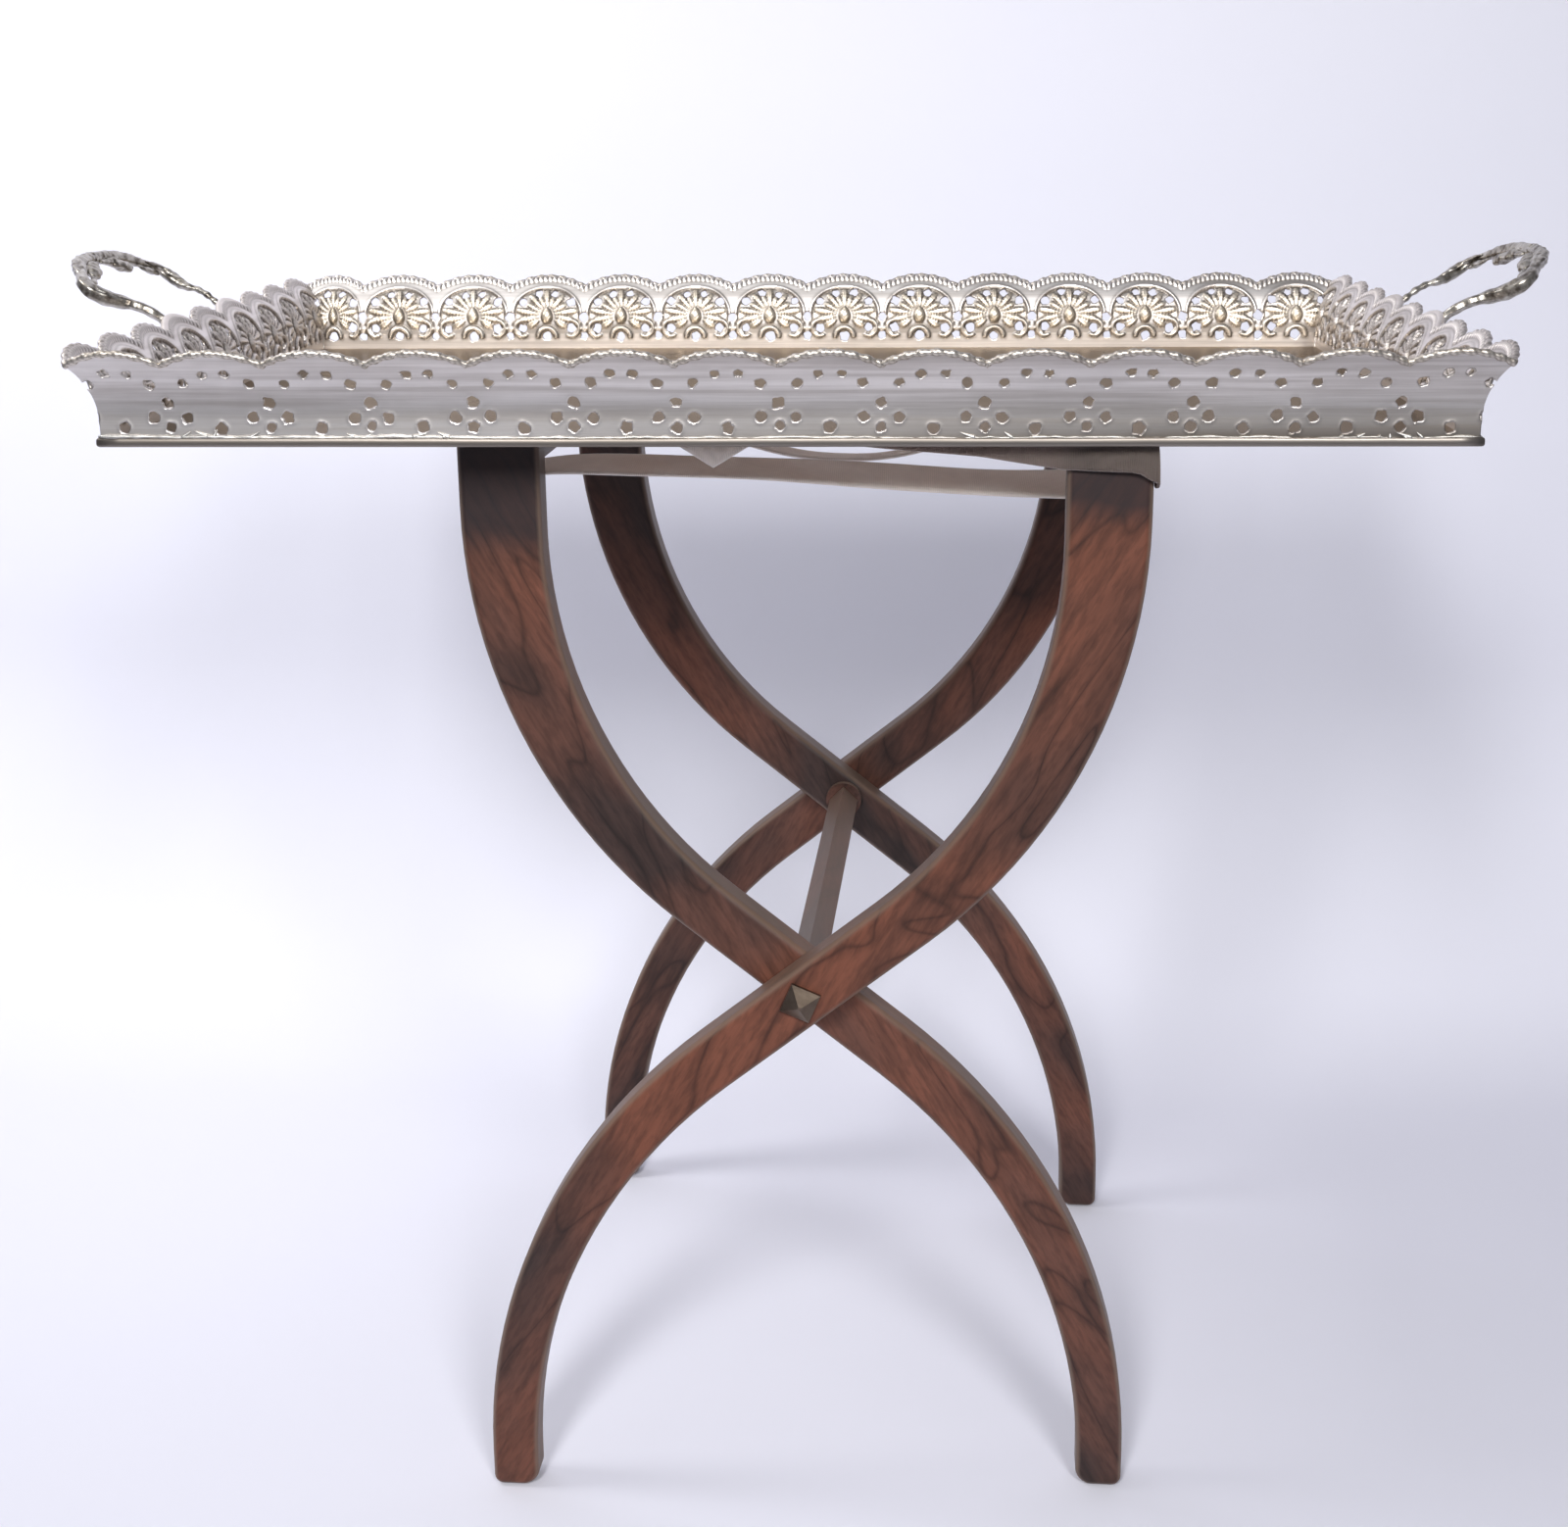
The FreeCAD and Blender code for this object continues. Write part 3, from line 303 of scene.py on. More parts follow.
# %% Wood
def wood_material(name, turn, shadow_top, lift=1.0):
    """Rosewood with its grain along the turned upright; shadow_top starts the tray's painted shadow, lift its
    tone.
    """
    graph = Graph(name)
    swirl = graph.noise(graph.coordinates((1, 1, 4), turn), 15, 2, 0.5, 1.2)
    rings = graph.maths("PINGPONG", graph.maths("MULTIPLY", swirl, 7), 0.5)
    figure = graph.ramp(rings, (0.0, 0.45), (0.07, 0.8), (0.3, 1.0))
    patch = graph.noise(graph.coordinates((1, 1, 2), turn), 9, 3, 0.6)
    shades = ((0.037, 0.021, 0.018), (0.094, 0.039, 0.027), (0.158, 0.054, 0.031))
    dark, brown, red = [tuple(lift * part for part in shade) for shade in shades]
    ground = graph.ramp(patch, (0.38, dark), (0.5, brown), (0.66, red))
    streak = graph.noise(graph.coordinates((1, 1, 14), turn), 260, 4, 0.6)
    colour = graph.mix(1.0, ground, figure, "MULTIPLY")
    colour = graph.mix(1.0, colour, graph.ramp(streak, (0.36, 0.7), (0.6, 1.0)), "MULTIPLY")
    pores = graph.noise(graph.coordinates((1, 1, 4), turn), 420, 2)
    colour = graph.mix(1.0, colour, graph.ramp(pores, (0.38, 0.78), (0.55, 1.0)), "MULTIPLY")
    height = graph.add("SeparateXYZ", {"Vector": graph.add("TexCoord").outputs["Object"]}).outputs["Z"]
    uneven = graph.maths("ADD", height, graph.maths("MULTIPLY", patch, 0.06))
    # painted shadow: above this height the wood turns near black, as the tray's shadow on the legs' tops
    tray_shadow_paint = graph.ramp(uneven, (shadow_top, 0.0), (shadow_top + 0.014, 0.85))
    colour = graph.mix(tray_shadow_paint, colour, (0.015, 0.012, 0.014))
    facing = graph.add("SeparateXYZ", {"Vector": graph.add("TexCoord").outputs["Normal"]}).outputs["Y"]
    flat = graph.maths("ADD", graph.maths("ABSOLUTE", facing), graph.maths("MULTIPLY", streak, 0.1))
    # partly wear, partly painted highlight: faces that don't look to the front or back are painted paler
    worn_and_lit = graph.ramp(flat, (0.75, 0.6), (1.0, 0.0))
    colour = graph.mix(worn_and_lit, colour, (0.20, 0.14, 0.105))
    shine = graph.ramp(patch, (0.3, 0.42), (0.7, 0.56))
    normal = graph.bump(streak, 0.2, 0.0004)
    return graph.surface(Base_Color=colour, Roughness=shine, Normal=normal, Specular_IOR_Level=0.32)


LEG_SLANT = math.radians(29.7)
outer_wood = wood_material("rosewood_outer", (0, LEG_SLANT, 0), 0.576, 1.1)
inner_wood = wood_material("rosewood_inner", (0, -LEG_SLANT, 0), 0.55, 1.3)
# the rails' copy is lifted most: painted light, for their tops that catch the lamps
rail_wood = wood_material("rosewood_rails", (math.pi / 2, 0, 0), 0.6, 1.4)
print("woods:", [wood.name for wood in (outer_wood, inner_wood, rail_wood)])

# %% [markdown]
# ## Webbing and small metal
# The straps are linen, the one under the tray painted dark as its shade, and the fittings are iron, old brass
# and solder. Threads could be modelled one by one; two crossed waves in the material do as well. Light passes
# through thin cloth, which subsurface scattering gives.


# %% Webbing and small metal
def plain_material(name, colour, metallic, roughness, grain=90):
    """One colour that darkens in blotches; grain is how many fit in a metre."""
    graph = Graph(name)
    cloud = graph.noise(graph.coordinates(), grain, 5)
    dark = tuple(0.55 * part for part in colour)
    shade = graph.ramp(cloud, (0.3, dark), (0.65, colour))
    normal = graph.bump(cloud, 0.3, 0.0006)
    return graph.surface(Base_Color=shade, Metallic=metallic, Roughness=roughness, Normal=normal)


def linen_material(name, light, dark):
    """Plain weave that lets light through: threads every millimetre, with stains between two colours."""
    graph = Graph(name)
    place = graph.add("TexCoord").outputs["Object"]
    threads = []
    for direction in ("X", "Y"):
        inputs = {"Vector": place, "Scale": 300, "Distortion": 0.6, "Detail": 1}
        threads.append(graph.add("TexWave", inputs, bands_direction=direction).outputs["Fac"])
    weave = graph.maths("ADD", *threads)
    stain = graph.noise(place, 30, 4)
    shade = graph.ramp(stain, (0.3, dark), (0.7, light))
    colour = graph.mix(0.35, shade, graph.ramp(weave, (0.2, 0.55), (0.8, 1.0)), "MULTIPLY")
    normal = graph.bump(weave, 0.35, 0.0004)
    through = {"Subsurface_Weight": 1.0, "Subsurface_Radius": (1.0, 0.9, 0.85), "Subsurface_Scale": 0.009}
    return graph.surface(Base_Color=colour, Roughness=0.92, Normal=normal, **through)


iron = plain_material("worn_iron", (0.14, 0.12, 0.10), 1.0, 0.5)
brass = plain_material("aged_brass", (0.19, 0.145, 0.11), 1.0, 0.36)
linen = linen_material("linen_webbing", (0.78, 0.65, 0.57), (0.64, 0.525, 0.455))
# painted shade: the strap under the tray is dark as the tray's shade, while its ear keeps the pale linen
shaded_linen = linen_material("webbing_painted_shade", (0.13, 0.10, 0.086), (0.09, 0.07, 0.061))
solder = plain_material("solder", (0.72, 0.70, 0.66), 1.0, 0.4, 220)
print("others:", [material.name for material in (iron, brass, linen, shaded_linen, solder)])

# %% [markdown]
# ## The gallery
# Each wall is one sheet. It could be bent from a plane with modifiers; a grid of points, with columns along
# the wall and rows up it, is exact. The rows follow the section, an upright foot that coves outwards, and
# their top follows the scalloped rim.

# %% The wall's section
# width of an arch, thickness of the sheet, and width of a tongue along the rim
PITCH, SHEET, RIDGE = 47.5, 1.2, 2.95
# the section: an upright foot, then a cove of this radius and turn, and the scallops' rise above it
UPRIGHT = 12.0
COVE = 40.0
COVE_TURN = math.radians(42)
RISE = 6.0 / math.cos(COVE_TURN)
CUSP = UPRIGHT + COVE * COVE_TURN
PEAK = CUSP + RISE
FOOT = 580.6
LONG, SHORT = 14, 9
FLARE = COVE * (1 - math.cos(COVE_TURN))
HALF_LENGTH = LONG * PITCH / 2 - FLARE
HALF_WIDTH = SHORT * PITCH / 2 - FLARE


def wall_section(up_sheet):
    """Outward lean, height and lean angle of the wall's outer face, so far up the sheet."""
    turn = np.clip((up_sheet - UPRIGHT) / COVE, 0, COVE_TURN)
    past = np.maximum(up_sheet - CUSP, 0)
    out = COVE * (1 - np.cos(turn)) + past * math.sin(COVE_TURN)
    height = np.minimum(up_sheet, UPRIGHT) + COVE * np.sin(turn) + past * math.cos(COVE_TURN)
    return out, height, turn


def rim_height(across):
    """Height of the scalloped rim up the sheet, across an arch from its middle."""
    return CUSP + RISE * (1 - (2 * across / PITCH) ** 2)


print("wall height up the sheet:", round(PEAK, 1), "mm")

# %% [markdown]
# ## The embossed arch
# Each arch has a palmette of leaves round a bud, with scrolls at its foot, under a hoop and a row of
# tongues. It could be sculpted once and bent onto each wall. A height for each point, the highest of a few
# simple ridges, follows the wall by itself.

# %% The embossed arch
# leaves of one half of the palmette, which spring from its heart: lean, start, tip, half width, height
HEART = 21.5
LEAVES = [
    (0, 4.5, 16.8, 1.9, 1.9),
    (20, 4.5, 12.6, 1.5, 1.5),
    (40, 4.5, 17.0, 2.0, 1.8),
    (61, 4.5, 14.6, 1.6, 1.5),
    (81, 4.5, 20.0, 2.0, 1.7),
    (100, 5.0, 17.5, 2.0, 1.6),
    (120, 5.5, 14.5, 2.6, 1.5),
]
# the bud at its heart: half width, half height, height
BUD = (3.4, 5.2, 2.4)
# rolled scrolls: centre across and up, radius, half width, from and to angle, height
SCROLLS = [
    (0.0, 8.0, 5.8, 1.25, -5, 185, 1.7),
    (15.6, 13.4, 4.9, 1.05, -125, 95, 1.4),
    (21.6, 8.6, 4.6, 0.9, 60, 200, 1.0),
]
# half width and height of the hoop over the palmette, and the height at which it springs
HOOP_ACROSS, HOOP_UP, HOOP_FOOT = 21.8, 18.6, 21.5


def rounded(distance):
    """Profile of a rounded ridge: one on its middle, nothing past its edge."""
    return np.sqrt(np.clip(1 - distance**2, 0, None))


def emboss(across, up):
    """Height of the pattern on the inside of an arch, and where it is gilt."""
    height = np.zeros_like(across)
    gilt = np.zeros_like(across)

    def raise_to(shape, shade):
        nonlocal height, gilt
        gilt = np.where(shape > height, shade, gilt)
        height = np.maximum(height, shape)

    ellipse = np.sqrt((across / HOOP_ACROSS) ** 2 + (np.maximum(up - HOOP_FOOT, 0) / HOOP_UP) ** 2)
    raise_to(0.9 * np.clip((ellipse - 1) * 24, 0, 1) * np.clip((up - 6) / 4, 0, 1), 0.0)
    raise_to(1.6 * rounded((ellipse - 1.0) * 21) * np.clip((up - 15) / 7, 0, 1), 0.15)
    tongues = 1 - 0.7 * np.exp(-((np.sin(math.pi * across / RIDGE) / 0.45) ** 2))
    raise_to(2.0 * rounded((rim_height(across) - up - 2.9) / 2.6) * tongues, 0.1)
    veins = np.sin(math.pi * (up - HEART - 1.1 * np.abs(across)) / 2.6)
    pointed = BUD[0] * (1 - 0.5 * np.clip((up - HEART) / BUD[1], 0, 1))
    bud = BUD[2] * rounded(np.hypot(across / pointed, (up - HEART) / BUD[1]))
    raise_to(bud * (1 - 0.4 * np.exp(-((veins / 0.4) ** 2))), 1.0)
    for side in (-1, 1):
        x = across * side
        for lean, start, tip, width, rise in LEAVES:
            angle = math.radians(lean)
            along = x * math.sin(angle) + (up - HEART) * math.cos(angle)
            over = x * math.cos(angle) - (up - HEART) * math.sin(angle)
            share = np.clip((along - start) / (tip - start), 0, 1)
            serrated = width * (0.5 + 0.62 * share) * (1 + 0.2 * np.cos(math.pi * along))
            leaf = rounded(np.hypot((2 * along - start - tip) / (tip - start), over / serrated))
            raise_to(rise * leaf * (1 - 0.5 * np.exp(-((over / 0.4) ** 2))), 0.85)
        for middle, level, radius, width, start, end, rise in SCROLLS:
            angle = np.degrees(np.arctan2(up - level, x - middle))
            angle = np.where(angle < start, angle + 360, angle)
            ring = rounded((np.hypot(x - middle, up - level) - radius) / width) * (angle <= end)
            raise_to(rise * ring, 0.5)
    return height, gilt


print("leaves of a palmette:", 2 * len(LEAVES) - 1)

# %% [markdown]
# ## Piercings
# The gallery was pierced by hand, so no two holes are alike. Hundreds of booleans would be slow. Squares of
# the grid are left out instead, and the corners around them slide onto the hole's edge.

# %% Piercings
# piercings of one arch: across, up and radius
PIERCINGS = [
    (5.3, 35.6, 2.5),
    (15.4, 30.2, 2.7),
    (15.5, 13.4, 2.7),
    (0.0, 8.3, 2.9),
    (PITCH / 2, 20.4, 2.9),
    (PITCH / 2, 8.8, 2.5),
]


def arch_edges(count, first_share, last_share):
    """Where the arches meet along a wall, with narrower ones at its ends."""
    shares = np.array([first_share] + [1.0] * (count - 2) + [last_share])
    ends = np.concatenate([[0], np.cumsum(shares)])
    return (ends / ends[-1] - 0.5) * count * PITCH


def hole_edge(radius, random):
    """Outline of a hand-cut hole: a function that gives its radius at an angle."""
    size = radius * random.uniform(0.88, 1.08)
    lobes = list(zip((2, 3, 4, 5), random.normal(0, 0.05, 4), random.uniform(0, 6.28, 4)))

    def edge(angle):
        waves = [swell * np.cos(lobe * angle + turn) for lobe, swell, turn in lobes]
        return size * (1 + sum(waves))

    return edge


def cut_hole(x, up, middles, solid, burr, spot, edge, reach):
    """Leaves out the squares with their middles in a hole, and slides the corners around it onto its edge."""

    def offset(px, pu):
        dx, du = px - spot[0], pu - spot[1]
        angle = np.arctan2(du, dx)
        return np.hypot(dx, du) - edge(angle), angle

    columns = np.flatnonzero(np.abs(x[0] - spot[0]) < reach)
    part = slice(columns[0], columns[-1] + 1)
    squares = slice(columns[0], columns[-1])
    inside = offset(middles[0][:, squares], middles[1][:, squares])[0] < 0
    solid[:, squares] &= ~inside
    touched = np.zeros((inside.shape[0] + 1, inside.shape[1] + 1), int)
    for i in (0, 1):
        for j in (0, 1):
            touched[i : i + inside.shape[0], j : j + inside.shape[1]] += inside
    gap, angle = offset(x[:, part], up[:, part])
    rim = (touched > 0) & (touched < 4)
    x[:, part] = np.where(rim, spot[0] + edge(angle) * np.cos(angle), x[:, part])
    up[:, part] = np.where(rim, spot[1] + edge(angle) * np.sin(angle), up[:, part])
    gap = np.where(rim, 0, np.maximum(gap, 0))
    burr[:, part] = np.maximum(burr[:, part], np.exp(-((gap / 0.9) ** 2)))


def pierce(x, up, edges, random):
    """Cuts a wall's holes into its grid: which squares stay, and how near a cut each corner lies."""
    middles = [(side[1:, 1:] + side[:-1, :-1]) / 2 for side in (x, up)]
    solid = np.ones(middles[0].shape, bool)
    burr = np.zeros_like(x)
    for low, high in zip(edges[:-1], edges[1:]):
        middle, stretch = (low + high) / 2, (high - low) / PITCH
        for across, level, radius in PIERCINGS:
            for side in (-1, 1) if across else (1,):
                if across == PITCH / 2 and (side < 0 or high == edges[-1]):
                    continue
                edge = hole_edge(radius, random)
                place = middle + side * across * stretch
                spot = place + random.normal(0, 0.3), level + random.normal(0, 0.3)
                cut_hole(x, up, middles, solid, burr, spot, edge, 3 * radius)
    return solid, burr


print("piercings written for half an arch:", len(PIERCINGS))

# %% [markdown]
# ## Sheet and creases
# The grid becomes a sheet with two sides and closed edges. A solidify modifier gives one thickness; here
# the inside carries the relief. Old polish gathers in creases, which lie below the mean height around them.

# %% Sheet and creases
# depth below its neighbours at which a crease is quite dark
CREASE = 0.4


def sheet_faces(solid):
    """Faces of a sheet with two sides and closed edges, from a mask of the grid squares that it keeps."""
    rows, columns = solid.shape
    number = np.arange((rows + 1) * (columns + 1)).reshape(rows + 1, columns + 1)
    shift = number.size
    corners = [number[:-1, :-1], number[:-1, 1:], number[1:, 1:], number[1:, :-1]]
    outer = np.stack([corner[solid] for corner in corners], -1)
    inner = outer[:, ::-1] + shift
    padded = np.pad(solid, 1)
    beyond = [padded[:-2, 1:-1], padded[1:-1, 2:], padded[2:, 1:-1], padded[1:-1, :-2]]
    faces = [outer, inner]
    for i, neighbour in enumerate(beyond):
        open_edge = solid & ~neighbour
        start, end = corners[i][open_edge], corners[(i + 1) % 4][open_edge]
        faces.append(np.stack([end, start, start + shift, end + shift], -1))
    return np.vstack(faces)


def hollows(height, reach=3):
    """How deep each point lies among its neighbours: one in a crease, nothing on a ridge."""
    size = 2 * reach + 1
    windows = np.lib.stride_tricks.sliding_window_view(np.pad(height, reach, mode="edge"), (size, size))
    return np.clip((windows.mean((2, 3)) - height) / CREASE, 0, 1)


print("a crease is dark from", CREASE, "mm down")

# %% [markdown]
# ## Rope along the rim
# A fine lumpy rope finishes the rim. A texture would leave its outline smooth, so it is a tube along each
# scallop whose radius dips in slanting grooves. Under the handles it is plain.

# %% Rope along the rim
ROPE_SIDES = 10
ROPE_RADIUS, WORN_RADIUS = 1.75, 2.1


def rope(edges, plain, random):
    """The lumpy rope along a wall's scallops, smooth on the plain arches, and painted shade in its grooves.
    """
    parts, groove_shades = [], []
    angles = np.linspace(0, 2 * math.pi, ROPE_SIDES, endpoint=False)

    def groove(along, angle):
        return np.exp(-((np.sin(math.pi * along / RIDGE + angle) / 0.45) ** 2))

    for number, (low, high) in enumerate(zip(edges[:-1], edges[1:])):
        across = np.linspace(-PITCH / 2, PITCH / 2, 90)
        x = (low + high) / 2 + across / PITCH * (high - low)
        out, height, turn = wall_section(rim_height(across) - 0.6)
        inset = SHEET * 0.6
        path = np.stack([x, -(out - inset * np.cos(turn)), height + inset * np.sin(turn)], -1)
        phase, lump = random.uniform(0, 6.28), random.uniform(6.6, 7.8)

        def swell(along, angle):
            return 0.17 * np.cos(2 * math.pi * along / lump + phase) - 0.2 * groove(along, angle)

        up = (0, math.sin(COVE_TURN), math.cos(COVE_TURN))
        if number in plain:
            parts.append(tube(path, WORN_RADIUS, ROPE_SIDES, up))
            groove_shades.append(np.zeros(len(path) * ROPE_SIDES))
        else:
            parts.append(tube(path, ROPE_RADIUS, ROPE_SIDES, up, 1.0, swell))
            # painted shade: the grooves are darkened so that they show
            groove_shades.append(0.8 * groove(distances(path)[:, None], angles).ravel())
    return *joined(parts), np.concatenate(groove_shades)


print("rope radius:", ROPE_RADIUS, "mm")

# %% [markdown]
# ## The four walls
# One recipe makes all walls, with a narrower arch at the left-hand end of each long one. Copies of one arch
# would repeat every hole and lump. At the corners, points past the mitre slide back onto it.

# %% The four walls
COLUMNS, ROWS = 80, 72
# height up the sheet from which the rows spread to follow the scallops
WAIST = 24.0
# how dirty the bare ground between the leaves is, and how dark a reflection is painted on the outside's foot
# towards one end of a wall
GROUND_DIRT, FOOT_DARK_REFLECTION = 0.4, 0.9


def make_wall(name, count, half, end_shares, turn, place, gilding, plain=()):
    """One gallery wall, modelled along X with its outside towards -Y, then turned into place."""
    random = np.random.default_rng(abs(turn) + count)
    edges = arch_edges(count, *end_shares)
    inside_arch = np.linspace(-PITCH / 2, PITCH / 2, COLUMNS + 1)
    across = np.concatenate([inside_arch[:-1]] * count + [inside_arch[-1:]])
    x_line = [np.linspace(a, b, COLUMNS + 1)[:-1] for a, b in zip(edges[:-1], edges[1:])]
    x_line = np.concatenate([*x_line, edges[-1:]])
    level = np.linspace(0, PEAK, ROWS + 1)[:, None]
    stretch = (rim_height(across)[None, :] - WAIST) / (PEAK - WAIST)
    up = np.where(level > WAIST, WAIST + (level - WAIST) * stretch, level)
    x = np.broadcast_to(x_line, up.shape).copy()
    solid, burr = pierce(x, up, edges, random)
    home = np.searchsorted(edges[1:-1], x)
    centre = (edges[home] + edges[home + 1]) / 2
    local = (x - centre) / (edges[home + 1] - edges[home]) * PITCH
    height, gilt = emboss(local, up)
    out, tall, lean = wall_section(up)
    beyond = np.abs(x) > half + out + 0.01
    solid &= ~(beyond[1:, 1:] & beyond[1:, :-1] & beyond[:-1, 1:] & beyond[:-1, :-1])
    layers = []
    for depth in (-0.2 * burr, SHEET + height):
        y = -(out - depth * np.cos(lean))
        z = tall + depth * np.sin(lean)
        mitred = np.clip(x, y - half, half - y)
        layers.append(np.stack([mitred, y, z], -1).reshape(-1, 3))
    points = np.vstack(layers)
    faces = sheet_faces(solid)
    shade = np.concatenate([np.zeros(gilt.size), gilding * gilt.ravel()])
    ground = GROUND_DIRT * ((height < 0.05) & (up > 10))
    # painted reflection: the outside darkens towards its foot and towards one end, as the dim room reflected
    # there
    dark_reflection = FOOT_DARK_REFLECTION * np.clip(1.25 - up / 16, 0, 1) * np.clip(0.4 + x / half, 0, 1)
    polish_and_shade_values = np.concatenate([dark_reflection.ravel(), np.maximum(hollows(height), ground).ravel()])
    used, faces = np.unique(faces, return_inverse=True)
    faces = faces.reshape(-1, 4)
    points, shade, polish_and_shade_values = points[used], shade[used], polish_and_shade_values[used]
    rope_points, rope_faces, rope_groove_shade = rope(edges, plain, random)
    points, faces = joined([(points, faces.tolist()), (rope_points, rope_faces)])
    shade = np.concatenate([shade, np.full(len(rope_points), 0.5 * gilding)])
    polish_and_shade_values = np.concatenate([polish_and_shade_values, rope_groove_shade])
    cosine, sine = math.cos(math.radians(turn)), math.sin(math.radians(turn))
    spin = np.array([[cosine, -sine, 0], [sine, cosine, 0], [0, 0, 1]])
    points = points @ spin.T + np.array([*place, FOOT])
    node = name.replace("_wall", "")
    silver = pale_silver if count == SHORT else sheet_silver
    return make_piece(name, points, faces, silver, "tray", "silver_plate", [node], gilt=shade, recess=polish_and_shade_values)


# arches whose rope is smooth, and the shares of a wall's first and last arch where it is even
UNDER_HANDLES = (3, 5)
EVEN = (1.0, 1.0)
walls = [
    make_wall("gallery_front_wall", LONG, HALF_LENGTH, (0.93, 1.0), 0, (0, -HALF_WIDTH), 0.35),
    make_wall("gallery_rear_wall", LONG, HALF_LENGTH, (1.0, 0.79), 180, (0, HALF_WIDTH), 0.36),
    make_wall("gallery_left_wall", SHORT, HALF_WIDTH, EVEN, -90, (-HALF_LENGTH, 0), 0.1, UNDER_HANDLES),
    make_wall("gallery_right_wall", SHORT, HALF_WIDTH, EVEN, 90, (HALF_LENGTH, 0), 0.1, UNDER_HANDLES),
]
print("gallery faces:", [len(wall.data.polygons) for wall in walls])

# %% [markdown]
# ## Handles
# Each handle is one casting of acanthus leaves round two arms and a grip. It could be sculpted; limbs that
# swell, taper and ripple need fewer numbers. They are drawn in the handle's plane: outwards from the rim,
# along it, and up. One half is written down. The other is its mirror with a thinner arm, and the left
# handle mirrors the right one, bent a little shorter.

# %% Cast handles
HANDLE_TILT = math.radians(27)
# where a handle leaves the rim: outwards along the tray, and up
HANDLE_ROOT = (337.2, 620.7)
# one half of the handle: points of each limb as outwards, along the rim, up, and radius
LOOP = [
    (-5, 47, -4, 1.6), (0, 47, 0, 2.7), (6, 48, 2.2, 2.5), (12, 49.8, 3.2, 2.6), (16, 50.6, 3.4, 2.7),
    (20, 51.8, 3.2, 2.5), (24, 51.4, 2.4, 2.9), (28, 52, 1.5, 3.4), (32, 54.3, 0.9, 3.8),
    (36, 56.9, 0.6, 3.9), (40, 59, 0.6, 3.9), (44, 60, 1.1, 3.7), (48, 59, 2, 3.5), (51.5, 55, 2.6, 3.1),
    (54.5, 49, 3.1, 2.9), (58, 42, 3.4, 3.1), (62, 35, 3.5, 3.6), (65.5, 27, 3.4, 3.8), (67.6, 18, 3.2, 3.8),
    (68.6, 8, 3.2, 3.7), (68.8, -1, 3.2, 3.7),
]
LEAF_LIMBS = [
    [(54, 52, 4.2, 0.6), (59, 45, 4.6, 2.3), (63, 37, 4.8, 3.0), (66, 27, 4.8, 3.4), (67.8, 14, 4.8, 3.3),
     (68.2, 3, 4.6, 1.2)],
    [(60, 30, 3, 1.0), (61.5, 22, 3, 3.0), (63, 13, 3.2, 3.3), (64.2, 3, 3.4, 1.2)],
    [(65, 12, 3.6, 2.0), (62, 16, 3.2, 4.2), (59, 21, 2.6, 4.8), (56.5, 26, 2.2, 4.2), (55, 31, 2.2, 1.4)],
    [(26, 52.5, 3.6, 0.5), (33, 55.5, 3.4, 2.0), (40, 58, 3.6, 2.4), (46, 57.5, 4.0, 2.2),
     (50.5, 53, 4.8, 1.4), (53, 48, 5.2, 0.5)],
    [(47, 55, 0.5, 2.4), (49.5, 50, 1.2, 3.0), (49, 45, 2, 2.6), (50.5, 40, 2.6, 1.8), (54, 37, 3.2, 0.6)],
    [(1, 47, 0.5, 2.2), (-3, 47.3, -4.5, 4.2), (-5.5, 47.5, -9, 3.4), (-7, 47.5, -12.5, 0.6)],
]
# how thick the thinner arm is, and how far out it grows to the grip's full thickness
REAR_ARM_SHARE = 0.66
GRIP_START, GRIP_FULL = 50.0, 62.0
# length of the left handle, as a share of the right one
LEFT_LENGTH = 0.95


def leafy(along, angle):
    """Swelling of a cast leaf: ridges that wind round it, and lumps along it."""
    return 0.11 * np.cos(3 * angle + 0.5 * along) + 0.08 * np.cos(2 * math.pi * along / 5.6)


def ribbed(along, angle):
    """Swelling of the thick front arm: ribs along it."""
    return 0.10 * np.cos(5 * angle + 0.06 * along) + 0.06 * np.cos(2 * math.pi * along / 9)


def knuckled(along, angle):
    """Swelling of the thin rear arm: knuckles near its foot that fade out."""
    return 0.24 * np.cos(2 * math.pi * along / 6.6) * np.exp(-((along / 34) ** 2)) + 0.05 * np.cos(4 * angle)


def make_handle(name, side, length):
    """The handle at the right-hand end of the tray for side 1, or its mirror image at the left for -1."""
    parts = []
    for half, share, swelling in ((-1, 1.0, ribbed), (1, REAR_ARM_SHARE, knuckled)):
        loop = []
        for out, along, up, radius in LOOP:
            full = np.interp(out, [GRIP_START, GRIP_FULL], [share, 1.0])
            loop.append((out, half * along, up, full * radius))
        parts.append(limb(loop, 260, sides=20, ripple=swelling))
        for corners in LEAF_LIMBS:
            leaf = [(out, half * along, up, radius) for out, along, up, radius in corners]
            parts.append(limb(leaf, 12 * len(corners), sides=16, flat=0.62, ripple=leafy))
    points, faces = joined(parts)
    out, along, up = points.T
    out = np.where(out > 0, length * out, out)
    reach = HANDLE_ROOT[0] + out * math.cos(HANDLE_TILT) - up * math.sin(HANDLE_TILT)
    height = HANDLE_ROOT[1] + out * math.sin(HANDLE_TILT) + up * math.cos(HANDLE_TILT)
    points = np.stack([side * reach, along, height], -1)
    faces = [face[::-side] for face in faces]
    return make_piece(name + "_casting", points, faces, cast_silver, "tray", "silver_plate", [name])


handles = [make_handle("handle_right", 1, 1.0), make_handle("handle_left", -1, LEFT_LENGTH)]
print("handle points:", [len(handle.data.vertices) for handle in handles])

# %% [markdown]
# ## Tray floor, lip and solder
# The floor's edge is turned up into a low lip around the gallery's foot. A bevelled box would have no lip,
# so one section is carried round the four sides. The gallery was soldered in by hand: a bead runs along the
# lip, thick at the left-hand corner, with runs up the wall.

